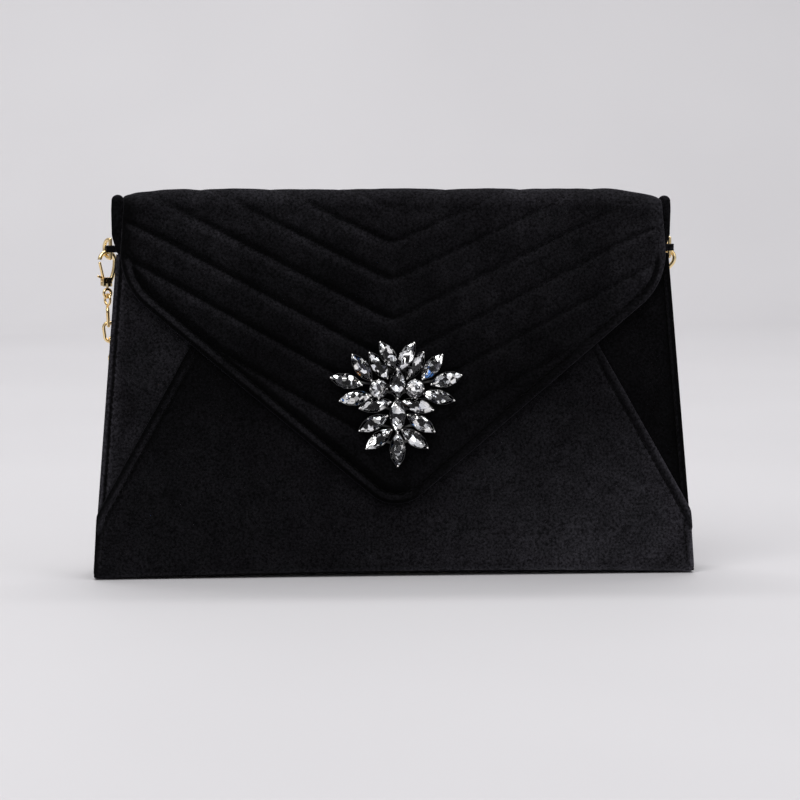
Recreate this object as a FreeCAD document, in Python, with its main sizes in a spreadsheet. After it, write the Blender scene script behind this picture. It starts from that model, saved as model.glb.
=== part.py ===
import FreeCAD, Part
import math
import os
import Sketcher
from FreeCAD import Placement, Rotation, Vector

# Velvet envelope evening bag.  +Z is up, the flap and brooch face -Y, the bag stands on its base.
# The walls lean towards each other from a flat base to the fold at the top.  Every wall is a stack
# of thin layers, and a layer's place is its distance out from the wall's reference plane.

doc = FreeCAD.newDocument("EveningBag")
sheet = doc.addObject("Spreadsheet::Sheet", "Dimensions")

DIMENSIONS = {
    "base_width": 280.0,
    "base_depth": 32.0,
    "frame_shift": 2.85,
    "wall_lean": 3.6,
    "wall_foot": 1.3,
    "wall_top_height": 150.0,
    "wall_top_width": 256.4,
    "mouth_height": 128.0,
    "mouth_width": 167.4,
    "diagonal_foot_height": 30.0,
    "diagonal_foot_width": 275.2,
    "ear_width": 262.0,
    "ear_low_height": 158.0,
    "ear_top_height": 178.0,
    "ear_radius": 2.2,
    "fold_height": 175.2,
    "fold_gap": 0.4,
    "fold_rise": 5.0,
    "flap_top_height": 174.8,
    "flap_top_width": 251.0,
    "flap_shoulder_height": 136.5,
    "flap_shoulder_width": 256.0,
    "flap_tip_height": 28.5,
    "shoulder_radius": 32.0,
    "tip_radius": 18.0,
    "edge_band": 4.0,
    "velvet": 1.2,
    "wadding": 1.0,
    "board": 1.0,
    "lining": 0.5,
    "washer": 0.5,
    "flap_gap": 0.5,
    "flap_cover": 2.4,
    "flap_board": 0.8,
    "flap_lining": 0.4,
    "gusset": 0.8,
    "gusset_fold": 14.0,
    "snap_height": 53.0,
    "snap_radius": 8.5,
    "snap_stud_radius": 3.0,
    "socket_washer_radius": 7.0,
    "stud_washer_radius": 6.0,
    "post_washer_radius": 3.0,
    "pocket_half_width": 62.0,
    "pocket_low": 24.0,
    "pocket_high": 104.0,
    "pocket_corner": 6.0,
    "wing_under": 14.0,
    "gusset_inset": 4.5,
    "brooch_height": 81.0,
    "brooch_plate": 0.8,
    "setting": 1.5,
    "stone": 2.4,
    "stone_length": 13.0,
    "stone_width": 5.6,
    "stone_round_radius": 4.0,
    "post_radius": 1.0,
    "post_spacing": 16.0,
    "ring_height": 152.0,
    "ring_offset": 131.9,
    "ring_back": 10.0,
    "ring_wire": 0.9,
    "ring_half": 4.3,
    "ring_leg": 1.5,
    "ring_yaw_left": 120.0,
    "ring_yaw_right": 90.0,
    "clasp_reach": 3.2,
    "clasp_hang": 1.7,
    "clasp_tilt_right": 38.0,
    "hook_radius": 4.0,
    "hook_wire": 1.0,
    "hook_drop": 10.3,
    "gate_across": 1.8,
    "gate_drop": 9.2,
    "barrel_radius": 2.3,
    "barrel_low": 12.0,
    "eye_drop": 15.2,
    "eye_radius": 1.9,
    "eye_wire": 0.7,
    "jump_drop": 18.25,
    "jump_radius": 2.5,
    "jump_wire": 0.6,
    "tab_width": 4.6,
    "tab_strap": 0.9,
    "tab_length": 11.0,
    "chain_width": 6.5,
    "hank_run": 86.0,
    "hank_loop": 16.25,
    "hank_centre_x": -14.0,
    "hank_centre_back": 39.65,
    "hank_gap": 0.15,
}

for row, (alias, number) in enumerate(DIMENSIONS.items(), start=1):
    sheet.set(f"A{row}", alias)
    sheet.set(f"B{row}", str(number))
    sheet.setAlias(f"B{row}", alias)
doc.recompute()


class Size:
    """A length made from cells of the sheet: its expression for FreeCAD and its present value."""

    def __init__(self, text, value):
        self.text = text
        self.value = value

    def joined(self, sign, other, value):
        return Size(f"({self.text} {sign} {as_size(other).text})", value)

    def __add__(self, other):
        return self.joined("+", other, self.value + as_size(other).value)

    def __sub__(self, other):
        return self.joined("-", other, self.value - as_size(other).value)

    def __mul__(self, other):
        return self.joined("*", other, self.value * as_size(other).value)

    def __truediv__(self, other):
        return self.joined("/", other, self.value / as_size(other).value)

    def __neg__(self):
        return Size(f"(-1 * {self.text})", -self.value)


def as_size(item):
    """A Size stays as it is, and a plain number becomes one."""
    if isinstance(item, Size):
        return item
    return Size(f"({item})", float(item))


def cell(alias):
    """The named cell of the sheet as a Size."""
    return Size(f"Dimensions.{alias}", float(sheet.get(alias)))


def mm(alias):
    """The named cell of the sheet as a plain number."""
    return cell(alias).value


# ---------------------------------------------------------------------------- frames of the walls

LEAN = math.radians(mm("wall_lean"))
FLAP_INSIDE = mm("velvet") + mm("flap_gap")
FLAP_BOARD_AT = FLAP_INSIDE + mm("flap_lining") + mm("flap_lining")
FLAP_COVER_AT = FLAP_BOARD_AT + mm("flap_board")
FLAP_OUTSIDE = FLAP_COVER_AT + mm("flap_cover")
BROOCH_AT = FLAP_OUTSIDE + mm("brooch_plate")


def front_frame(out):
    """Frame of the front wall: local x across, y up the wall, z outward; out is from the wings' face."""
    y = mm("frame_shift") - mm("base_depth") / 2 - out * math.cos(LEAN)
    z = out * math.sin(LEAN)
    return Placement(Vector(0, y, z), Rotation(Vector(1, 0, 0), 90 - mm("wall_lean")))


def back_frame(inward):
    """Frame of the back wall: local x across, y up the wall, z into the bag from the outer face."""
    y = mm("frame_shift") + mm("base_depth") / 2 - inward * math.cos(LEAN)
    z = -inward * math.sin(LEAN)
    return Placement(Vector(0, y, z), Rotation(Vector(1, 0, 0), 90 + mm("wall_lean")))


def front_y(height, out):
    """World y of the front wall at a height, for a distance out from the wings' face."""
    return mm("frame_shift") - mm("base_depth") / 2 + height * math.tan(LEAN) - out / math.cos(LEAN)


def back_y(height, inward):
    """World y of the back wall at a height, for a distance into the bag."""
    return mm("frame_shift") + mm("base_depth") / 2 - height * math.tan(LEAN) - inward / math.cos(LEAN)


# ------------------------------------------------------------------------------- building helpers

SUBPARTS = []


def origin_plane(body, role):
    """The body's own origin plane with the given role."""
    for feature in body.Origin.OriginFeatures:
        if feature.Role == role:
            return feature
    raise RuntimeError(f"no plane {role}")


def place_point(sketch, geometry, position, x, y):
    """Hold one point of the sketch at x, y by expressions of the sheet."""
    for kind, size, axis in (("DistanceX", x, -2), ("DistanceY", y, -1)):
        if abs(size.value) < 1e-9:
            sketch.addConstraint(Sketcher.Constraint("PointOnObject", geometry, position, axis))
        else:
            index = sketch.addConstraint(
                Sketcher.Constraint(kind, -1, 1, geometry, position, size.value))
            sketch.setExpression(f"Constraints[{index}]", size.text)


def plate(label, outline, thickness, placement, holes=(), rounds=()):
    """A flat layer: a sketched polygon with round holes, padded, with some corners rounded."""
    body = doc.addObject("PartDesign::Body", label)
    body.Label = label
    sketch = body.newObject("Sketcher::SketchObject", label + "_outline")
    sketch.AttachmentSupport = [(origin_plane(body, "XY_Plane"), "")]
    sketch.MapMode = "FlatFace"
    corners = [(as_size(x), as_size(y)) for x, y in outline]
    count = len(corners)
    for index, (x, y) in enumerate(corners):
        after = corners[(index + 1) % count]
        start = Vector(x.value, y.value, 0)
        end = Vector(after[0].value, after[1].value, 0)
        sketch.addGeometry(Part.LineSegment(start, end))
    for index, (x, y) in enumerate(corners):
        sketch.addConstraint(Sketcher.Constraint("Coincident", index, 2, (index + 1) % count, 1))
        place_point(sketch, index, 1, x, y)
    for x, y, radius in holes:
        x, y, radius = as_size(x), as_size(y), as_size(radius)
        circle = sketch.addGeometry(
            Part.Circle(Vector(x.value, y.value, 0), Vector(0, 0, 1), radius.value))
        place_point(sketch, circle, 3, x, y)
        index = sketch.addConstraint(Sketcher.Constraint("Radius", circle, radius.value))
        sketch.setExpression(f"Constraints[{index}]", radius.text)
    pad = body.newObject("PartDesign::Pad", label + "_pad")
    pad.Profile = sketch
    pad.setExpression("Length", as_size(thickness).text)
    doc.recompute()
    for x, y, radius in rounds:
        round_corner(body, label, as_size(x).value, as_size(y).value, as_size(radius))
    body.Placement = placement
    SUBPARTS.append(body)
    return body


def round_corner(body, label, x, y, radius):
    """Round the edge of the body that stands on the outline's corner at x, y."""
    tip = body.Tip
    names = []
    for index, edge in enumerate(tip.Shape.Edges, start=1):
        ends = [vertex.Point for vertex in edge.Vertexes]
        if len(ends) == 2 and all(math.hypot(end.x - x, end.y - y) < 1e-4 for end in ends):
            names.append(f"Edge{index}")
    fillet = body.newObject("PartDesign::Fillet", label + "_round")
    fillet.Base = (tip, names)
    fillet.setExpression("Radius", radius.text)
    doc.recompute()


def feature(label, shape, placement=None):
    """A sub-part whose shape is made by Part's functions from the sheet's values."""
    piece = doc.addObject("Part::Feature", label)
    piece.Label = label
    piece.Shape = shape
    piece.Placement = placement or Placement()
    SUBPARTS.append(piece)
    return piece


def disc(label, radius, length, placement):
    """A Part::Cylinder bound to the sheet, along the local z of its placement."""
    piece = doc.addObject("Part::Cylinder", label)
    piece.Label = label
    piece.setExpression("Radius", as_size(radius).text)
    piece.setExpression("Height", as_size(length).text)
    piece.Placement = placement
    return piece


def both_sides(outline):
    """A mirrored outline from the right half's corners, listed upward from the base."""
    return list(outline) + [(-x, y) for x, y in reversed(outline)]


def wall_side(height):
    """Half the width of the wall at a height below the wall's top, as a Size."""
    narrowing = (cell("base_width") - cell("wall_top_width")) / 2
    return cell("base_width") / 2 - narrowing * height / cell("wall_top_height")


# --------------------------------------------------------------------------------------- the base

def build_base():
    """Flat bottom: velvet underneath, a stiff board and the lining's floor."""
    half = cell("base_width") / 2 - 0.6
    front = front_y(0, 0) - 1.0
    back = back_y(0, 0)
    centre = Size(str((front + back) / 2), (front + back) / 2)
    reach = (back - front) / 2

    def layer(label, inset_x, inset_y, low, thickness):
        outline = [
            (half - inset_x, centre - (reach - inset_y)),
            (half - inset_x, centre + (reach - inset_y)),
            (-(half - inset_x), centre + (reach - inset_y)),
            (-(half - inset_x), centre - (reach - inset_y)),
        ]
        plate(label, outline, thickness, Placement(Vector(0, 0, low), Rotation()))

    layer("base_cover", 0.0, 0.0, 0.0, cell("board"))
    layer("base_board", 4.0, 4.6, 1.0, cell("board") * 1.4)
    layer("lining_base", 4.0, 4.6, 2.4, cell("lining"))


# --------------------------------------------------------------------------------- the back wall

def build_back():
    """Back panel with its two ears, its board, its lining and the slip pocket."""
    fold = cell("fold_height") - 0.2
    slot = cell("flap_top_width") / 2 + 0.7
    foot = cell("wall_foot")
    ear = cell("ear_width") / 2
    outline = both_sides([
        (wall_side(foot), foot),
        (cell("wall_top_width") / 2, cell("wall_top_height")),
        (ear, cell("ear_low_height")),
        (ear, cell("ear_top_height")),
        (slot, cell("ear_top_height")),
        (slot, fold),
    ])
    rounds = [(side * ear, cell("ear_top_height"), cell("ear_radius")) for side in (as_size(1), as_size(-1))]
    plate("back_panel", outline, cell("velvet"), back_frame(0), rounds=rounds)

    board = both_sides([
        (wall_side(4.0) - 3.0, as_size(4.0)),
        (cell("wall_top_width") / 2 - 4.0, cell("fold_height") - 3.0),
    ])
    plate("back_board", board, cell("board"), back_frame(mm("velvet")))
    lining = both_sides([
        (wall_side(3.2) - 3.0, as_size(3.2)),
        (cell("wall_top_width") / 2 - 3.0, cell("fold_height") - 2.0),
    ])
    lining_at = mm("velvet") + mm("board")
    plate("lining_back", lining, cell("lining"), back_frame(lining_at))
    pocket_side = cell("pocket_half_width")
    pocket = both_sides([(pocket_side, cell("pocket_low")), (pocket_side, cell("pocket_high"))])
    plate("slip_pocket", pocket, cell("lining"), back_frame(lining_at + mm("lining")),
          rounds=[(x, cell("pocket_low"), cell("pocket_corner")) for x in (pocket_side, -pocket_side)])


# -------------------------------------------------------------------------------- the front wall

def build_front():
    """Front panel over two wings, with wadding, board, lining and the snap's socket."""
    foot = cell("wall_foot")
    mouth = cell("mouth_width") / 2
    panel = both_sides([
        (wall_side(foot), foot),
        (cell("diagonal_foot_width") / 2, cell("diagonal_foot_height")),
        (mouth, cell("mouth_height")),
    ])
    snap_hole = (0, cell("snap_height"), cell("snap_radius") + 0.1)
    plate("front_panel", panel, cell("velvet"), front_frame(0), holes=[snap_hole])

    under = cell("wing_under")
    for side, name in ((1, "right"), (-1, "left")):
        wing = [
            (wall_side(foot + 4.0) * side, foot + 4.0),
            (cell("wall_top_width") / 2 * side, cell("wall_top_height")),
            ((mouth - under) * side, cell("mouth_height")),
            ((cell("diagonal_foot_width") / 2 - under) * side, foot + 4.0),
        ]
        plate(f"wing_{name}", wing, cell("wadding"), front_frame(-mm("wadding")))
    wadding = both_sides([
        (cell("diagonal_foot_width") / 2 - under - 0.6, foot + 4.0),
        (mouth - under - 0.6, cell("mouth_height")),
    ])
    plate("front_wadding", wadding, cell("wadding"), front_frame(-mm("wadding")), holes=[snap_hole])

    board_at = -mm("wadding") - mm("board")
    board = both_sides([
        (wall_side(4.0) - 4.0, as_size(4.0)),
        (cell("wall_top_width") / 2 - 6.0, cell("mouth_height") - 2.0),
    ])
    plate("front_board", board, cell("board"), front_frame(board_at))
    lining_at = board_at - mm("washer") - mm("lining")
    lining = both_sides([
        (wall_side(3.5) - 3.0, as_size(3.5)),
        (cell("wall_top_width") / 2 - 2.0, cell("wall_top_height") - 3.0),
        (mouth, cell("mouth_height") - 1.0),
    ])
    plate("lining_front", lining, cell("lining"), front_frame(lining_at))
    build_socket(board_at)


def at_snap(out):
    """Frame on the front wall's snap centre, a distance out from the wings' face."""
    return front_frame(out).multiply(Placement(Vector(0, mm("snap_height"), 0), Rotation()))


def build_socket(board_at):
    """Magnetic socket: a pressed casing open at its back, a ring magnet in it, and a washer."""
    low = -mm("wadding")
    depth = mm("velvet") - 0.05 - low
    recess = mm("snap_stud_radius") + 0.6
    casing = Part.makeCylinder(mm("snap_radius"), depth)
    casing = casing.cut(Part.makeCylinder(recess, depth, Vector(0, 0, 0.25)))
    groove = Part.makeCylinder(mm("snap_radius") - 0.5, depth - 0.45)
    groove = groove.cut(Part.makeCylinder(recess + 0.6, depth))
    feature("snap_socket", casing.cut(groove), at_snap(low))
    magnet = Part.makeCylinder(mm("snap_radius") - 0.6, depth - 0.6)
    magnet = magnet.cut(Part.makeCylinder(recess + 0.7, depth))
    feature("snap_magnet", magnet, at_snap(low))
    SUBPARTS.append(disc("socket_washer", cell("socket_washer_radius"), cell("washer"), at_snap(board_at - mm("washer"))))


# ----------------------------------------------------------------------------------- the gussets

def build_gussets():
    """Side gussets, folded inward to a V, from the base to the walls' top."""
    low, high = 4.0, mm("wall_top_height") - 4.0
    for side, name in ((1, "right"), (-1, "left")):
        wires = []
        for height in (low, high):
            edge = wall_side(height).value - mm("gusset_inset")
            back = back_y(height, 2.2 + mm("lining")) - 0.3
            front = front_y(height, -3.0) + 0.3
            middle = (back + front) / 2
            skin = mm("gusset")
            fold = edge - mm("gusset_fold")
            points = [
                Vector(side * edge, back, height),
                Vector(side * fold, middle, height),
                Vector(side * edge, front, height),
                Vector(side * (edge - 2.4 * skin), front, height),
                Vector(side * (fold - 2.4 * skin), middle, height),
                Vector(side * (edge - 2.4 * skin), back, height),
            ]
            wires.append(Part.makePolygon(points + [points[0]]))
        feature(f"gusset_{name}", Part.makeLoft(wires, True, True))


# ---------------------------------------------------------------------------- the fold and the flap

def build_fold():
    """Padded strip over the top, between the back wall and the flap, on its own thin board."""
    rear = back_y(mm("fold_height"), 0.1)
    nose = front_y(mm("fold_height"), FLAP_OUTSIDE) + 0.1
    half = mm("flap_top_width") / 2
    low = mm("fold_height") + mm("fold_gap")
    board = Part.makeBox(2 * half - 2, rear - nose - 0.8, mm("flap_board"), Vector(-half + 1, nose + 0.4, low))
    feature("fold_board", board)
    base = low + mm("flap_board")
    crown = mm("fold_height") + mm("fold_rise")
    ends = (Vector(-half, nose, base), Vector(-half, rear, base))
    arc = Part.Arc(ends[0], Vector(-half, (nose + rear) / 2, crown), ends[1]).toShape()
    chord = Part.LineSegment(ends[1], ends[0]).toShape()
    section = Part.Face(Part.Wire([arc, chord]))
    feature("fold_cover", section.extrude(Vector(2 * half, 0, 0)))


def flap_outline(inset):
    """The flap's five corners, moved inward by an inset, and its three rounded corners."""
    slope = math.atan2(mm("flap_shoulder_height") - mm("flap_tip_height"), mm("flap_shoulder_width") / 2)
    drop = inset / math.cos(slope)
    shoulder_x = cell("flap_shoulder_width") / 2 - inset
    shoulder_y = cell("flap_shoulder_height") + (drop - inset * math.tan(slope))
    corners = [
        (as_size(0), cell("flap_tip_height") + drop),
        (shoulder_x, shoulder_y),
        (cell("flap_top_width") / 2 - inset, cell("flap_top_height")),
        (-(cell("flap_top_width") / 2 - inset), cell("flap_top_height")),
        (-shoulder_x, shoulder_y),
    ]
    rounds = [
        (corners[0][0], corners[0][1], cell("tip_radius") - inset),
        (corners[1][0], corners[1][1], cell("shoulder_radius") - inset),
        (corners[4][0], corners[4][1], cell("shoulder_radius") - inset),
    ]
    return corners, rounds


def post_holes(radius):
    """The two holes for the brooch's posts, one above the other."""
    spread = cell("post_spacing") / 2
    return [(0, cell("brooch_height") + spread * side, as_size(radius)) for side in (1, -1)]


def build_flap():
    """Quilted cover, board, lining, the turned edge band and the snap's stud."""
    post = cell("post_radius") + 0.05
    outline, rounds = flap_outline(0.0)
    plate("flap_cover", outline, cell("flap_cover"), front_frame(FLAP_COVER_AT),
          holes=post_holes(post), rounds=rounds)
    band_depth = FLAP_COVER_AT - FLAP_INSIDE
    inset = mm("edge_band")
    inner, inner_rounds = flap_outline(inset)
    core = plate("flap_band_core", inner, band_depth + 2, front_frame(FLAP_INSIDE - 1), rounds=inner_rounds)
    full = plate("flap_band_full", outline, band_depth, front_frame(FLAP_INSIDE), rounds=rounds)
    doc.recompute()
    band = doc.addObject("Part::Cut", "flap_edge_band")
    band.Label = "flap_edge_band"
    band.Base = full
    band.Tool = core
    SUBPARTS.remove(core)
    SUBPARTS.remove(full)
    SUBPARTS.append(band)

    layer, layer_rounds = flap_outline(inset + 0.1)
    plate("flap_board", layer, cell("flap_board"), front_frame(FLAP_BOARD_AT),
          holes=post_holes(post), rounds=layer_rounds)
    stud_hole = (0, cell("snap_height"), cell("snap_radius") + 0.1)
    plate("flap_lining", layer, cell("flap_lining"), front_frame(FLAP_INSIDE),
          holes=[stud_hole], rounds=layer_rounds)

    proud = 0.15
    tip = -0.55
    stud = Part.makeCylinder(mm("snap_radius"), mm("flap_lining") + proud, Vector(0, 0, FLAP_INSIDE - proud))
    pin = Part.makeCylinder(mm("snap_stud_radius"), FLAP_INSIDE - proud - tip, Vector(0, 0, tip))
    feature("snap_stud", stud.fuse(pin).removeSplitter(), at_snap(0))
    under_board = FLAP_INSIDE + mm("flap_lining")
    SUBPARTS.append(disc("stud_washer", cell("stud_washer_radius"), cell("flap_lining"), at_snap(under_board)))


# ------------------------------------------------------------------------------------- the brooch

# Pointed stones of the right half: across and up from the brooch's centre, and the lean of the
# outer point from straight up.  The left half mirrors them.  The column stones stand upright.
PAIRED_STONES = (
    (4.2, 22.4, 30.0),
    (10.6, 17.6, 38.0),
    (17.6, 16.6, 46.0),
    (23.1, 10.4, 72.0),
    (20.4, 2.9, 99.0),
    (10.8, -0.4, 104.0),
    (11.2, -9.2, 121.0),
    (8.6, -16.6, 126.0),
)
COLUMN_STONES = (9.6, -4.6, -21.0)
ROUND_STONE = (9.0, 7.6)


def brooch_frame(out):
    """Frame at the brooch's centre on the flap, a distance out from the wings' face."""
    return front_frame(out).multiply(Placement(Vector(0, mm("brooch_height"), 0), Rotation()))


def pointed_outline(length, width, height):
    """Closed wire of a pointed oval, tips along local y."""
    top = Vector(0, length / 2, height)
    low = Vector(0, -length / 2, height)
    right = Part.Arc(low, Vector(width / 2, 0, height), top).toShape()
    left = Part.Arc(top, Vector(-width / 2, 0, height), low).toShape()
    return Part.Wire([right, left])


def stone_places():
    """Placements of all the pointed stones on the brooch, tips along local y."""
    places = [Placement(Vector(0, up, 0), Rotation()) for up in COLUMN_STONES]
    for across, up, lean in PAIRED_STONES:
        for side in (1, -1):
            turn = Rotation(Vector(0, 0, 1), -side * lean)
            places.append(Placement(Vector(side * across, up, 0), turn))
    return places


def build_brooch():
    """Backing plate with posts and washers, soldered settings, and the cut stones."""
    length, width = mm("stone_length"), mm("stone_width")
    setting, stone = mm("setting"), mm("stone")
    round_radius = mm("stone_round_radius")

    arms = [
        (0, -25), (5, -23), (13, -20), (14, -13), (22, -1), (24, 5), (26, 12), (20, 20), (7, 26),
    ]
    outline = [(as_size(x), as_size(y)) for x, y in arms]
    outline += [(-x, y) for x, y in reversed(outline[1:])]
    plate("brooch_plate", outline, cell("brooch_plate"), brooch_frame(FLAP_OUTSIDE))

    cups = []
    stones = []
    for place in stone_places():
        cup = Part.Face(pointed_outline(length + 0.7, width + 0.7, 0)).extrude(Vector(0, 0, setting))
        cups.append(cup.transformGeometry(place.toMatrix()))
        girdle = pointed_outline(length, width, setting)
        table = pointed_outline(length * 0.55, width * 0.5, setting + stone)
        stones.append(Part.makeLoft([girdle, table], True, True).transformGeometry(place.toMatrix()))
    feature("stones_pointed", Part.makeCompound(stones), brooch_frame(BROOCH_AT))

    round_cups = []
    round_stones = []
    for side in (1, -1):
        centre = Vector(side * ROUND_STONE[0], ROUND_STONE[1], 0)
        round_cups.append(Part.makeCylinder(round_radius + 0.3, setting, centre))
        above = centre + Vector(0, 0, setting)
        round_stones.append(Part.makeCone(round_radius, round_radius * 0.55, stone * 0.8, above))
    feature("stones_round", Part.makeCompound(round_stones), brooch_frame(BROOCH_AT))
    settings = cups[0].multiFuse(cups[1:] + round_cups)
    feature("brooch_settings", settings, brooch_frame(BROOCH_AT))

    posts = []
    washers = []
    low = FLAP_INSIDE + mm("flap_lining")
    for side in (1, -1):
        up = side * mm("post_spacing") / 2
        reach = FLAP_OUTSIDE - low
        posts.append(Part.makeCylinder(mm("post_radius"), reach, Vector(0, up, low)))
        washer = Part.makeCylinder(mm("post_washer_radius"), mm("flap_lining"), Vector(0, up, low))
        washers.append(washer.cut(Part.makeCylinder(mm("post_radius"), 1.0, Vector(0, up, low))))
    feature("brooch_posts", Part.makeCompound(posts), brooch_frame(0))
    feature("brooch_washers", Part.makeCompound(washers), brooch_frame(0))


# ------------------------------------------------------------------- the rings, clasps and chain

def rod(start, end, radius):
    """A round rod from one point to another, with a ball at each end."""
    span = end - start
    bar = Part.makeCylinder(radius, span.Length, start, span)
    return bar.fuse([Part.makeSphere(radius, start), Part.makeSphere(radius, end)])


def ring_frame(side):
    """Frame of a strap ring: origin at the middle of its bar, local x out along the ring."""
    yaw = mm("ring_yaw_right") if side > 0 else mm("ring_yaw_left")
    base = Vector(side * mm("ring_offset"), mm("frame_shift") + mm("ring_back"), mm("ring_height"))
    return Placement(base, Rotation(Vector(0, 0, 1), yaw))


def clasp_frame(side):
    """Frame of a clasp: origin at the hook's centre, local y across it, local z up."""
    tilt = mm("clasp_tilt_right") if side > 0 else 0.0
    rise = mm("ring_half") - math.sqrt(mm("ring_half") ** 2 - (mm("clasp_reach") - mm("ring_leg")) ** 2)
    wire = Vector(mm("clasp_reach"), 0, rise - mm("ring_half"))
    drop = Placement(Vector(0, 0, -mm("clasp_hang")), Rotation())
    swing = Placement(wire, Rotation(Vector(1, 0, 0), tilt))
    return ring_frame(side).multiply(swing).multiply(drop)


def d_ring_shape():
    """D-shaped wire ring: straight bar, two short legs and a half circle."""
    half, leg, wire = mm("ring_half"), mm("ring_leg"), mm("ring_wire")
    corners = [Vector(leg, 0, half), Vector(0, 0, half), Vector(0, 0, -half), Vector(leg, 0, -half)]
    pieces = [rod(a, b, wire) for a, b in zip(corners, corners[1:])]
    bow = Part.makeTorus(half, wire, Vector(leg, 0, 0), Vector(0, 1, 0), -180, 180, 180)
    for turn in (0, 90, 180, 270):
        trial = bow.copy()
        trial.rotate(Vector(leg, 0, 0), Vector(0, 1, 0), turn)
        if abs(trial.CenterOfMass.z) < 0.1 and trial.CenterOfMass.x > leg:
            bow = trial
            break
    return pieces[0].multiFuse(pieces[1:] + [bow]).removeSplitter()


def gate_pivot():
    """The gate's pin in the clasp's frame."""
    return Vector(0, mm("gate_across"), -mm("gate_drop"))


def across_clasp(radius, length, centre):
    """Cylinder of a length along the clasp's local x, centred on a point."""
    return Part.makeCylinder(radius, length, centre - Vector(length / 2, 0, 0), Vector(1, 0, 0))


def hook_shape():
    """Clasp body: a long hook, the fork for the gate and the barrel, in one casting."""
    radius, wire, drop = mm("hook_radius"), mm("hook_wire"), mm("hook_drop")
    pivot = gate_pivot()
    foot = Vector(0, -1.2, -drop)
    left = Vector(0, -radius, 0)
    end_turn = math.radians(8)
    end = Vector(0, radius * math.cos(end_turn), radius * math.sin(end_turn))
    reach = radius + foot.y
    neck_radius = (drop ** 2 + reach ** 2) / (2 * reach)
    half_turn = math.asin(drop / neck_radius) / 2
    middle = Vector(0, neck_radius * (1 - math.cos(half_turn)) - radius, -neck_radius * math.sin(half_turn))
    neck = Part.Arc(foot, middle, left).toShape()
    bow = Part.Arc(left, Vector(0, 0, radius), end).toShape()
    circle = Part.Wire([Part.makeCircle(wire, foot, neck.tangentAt(neck.FirstParameter))])
    hook = Part.Wire([neck, bow]).makePipeShell([circle], True, True)
    fork = 2 * wire + 1.2
    saddle_low = -drop - 1.3
    stem_low = -mm("barrel_low")
    stem = Part.makeCylinder(mm("barrel_radius"), saddle_low + 1.0 - stem_low, Vector(0, 0, stem_low))
    saddle = Part.makeBox(fork, 4.4, 1.2, Vector(-fork / 2, -1.6, saddle_low))
    slot = 1.7
    cheek = (fork - slot) / 2
    cheeks = [Part.makeBox(cheek, 4.4, 3.4, Vector(x, -1.6, saddle_low + 0.4)) for x in (slot / 2, -fork / 2)]
    bore = across_clasp(0.45, 4.0, pivot)
    relief = across_clasp(1.55, slot, pivot)
    body = hook.fuse([stem, saddle] + cheeks)
    return body.cut(bore).cut(relief).removeSplitter()


def gate_shape():
    """Sprung gate of the clasp: an eye on its pin, a finger to the hook's end and a thumb tab."""
    pivot = gate_pivot()
    eye = across_clasp(1.3, 1.4, pivot)
    finger = rod(pivot + Vector(0, 0.3, 0.8), Vector(0, mm("hook_radius") - 0.05, -1.05), 0.68)
    thumb = rod(pivot + Vector(0, 1.2, 1.4), pivot + Vector(0, 3.0, 2.0), 0.55)
    bore = across_clasp(0.5, 3.0, pivot)
    return eye.fuse([finger, thumb]).cut(bore).removeSplitter()


def build_ring_side(side, name):
    """Everything that hangs from one strap tab: ring, clasp, gate, pin, eye and jump ring."""
    ring = ring_frame(side)
    clasp = clasp_frame(side)
    feature(f"d_ring_{name}", d_ring_shape(), ring)
    feature(f"clasp_body_{name}", hook_shape(), clasp)
    feature(f"clasp_gate_{name}", gate_shape(), clasp)
    feature(f"gate_pin_{name}", across_clasp(0.44, 3.1, gate_pivot()), clasp)
    eye_centre = Vector(0, 0, -mm("eye_drop"))
    eye = Part.makeTorus(mm("eye_radius"), mm("eye_wire"), eye_centre, Vector(1, 0, 0))
    shank = Part.makeCylinder(0.6, 1.2, eye_centre + Vector(0, 0, mm("eye_radius") + 0.1))
    feature(f"swivel_eye_{name}", eye.fuse(shank).removeSplitter(), clasp)
    jump = Part.makeTorus(mm("jump_radius"), mm("jump_wire"), Vector(0, 0, -mm("jump_drop")), Vector(0, 1, 0))
    feature(f"jump_ring_{name}", jump, clasp)


def build_tab(side, name):
    """Strap tab: a loop round the ring's bar and a tail sewn flat on the back panel."""
    width, strap = mm("tab_width"), mm("tab_strap")
    bar = mm("ring_wire") + 0.06
    centre = Vector(side * mm("ring_offset"), mm("frame_shift") + mm("ring_back"), mm("ring_height") - width / 2)
    loop = Part.makeCylinder(bar + strap, width, centre)
    face = back_y(mm("ring_height") - width / 2, 0) + 0.05
    tail_depth = 2 * strap
    near = side * (mm("ring_offset") - 0.3)
    far = side * (mm("ring_offset") - mm("tab_length"))
    tail = Part.makeBox(abs(near - far), tail_depth, width, Vector(min(near, far), face, centre.z))
    neck_x = side * (mm("ring_offset") - 0.9)
    neck = Part.makeBox(1.8, centre.y - face, width, Vector(neck_x - 0.9, face, centre.z))
    body = loop.fuse([tail, neck]).cut(Part.makeCylinder(bar, width, centre))
    feature(f"strap_tab_{name}", body.removeSplitter())


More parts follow.
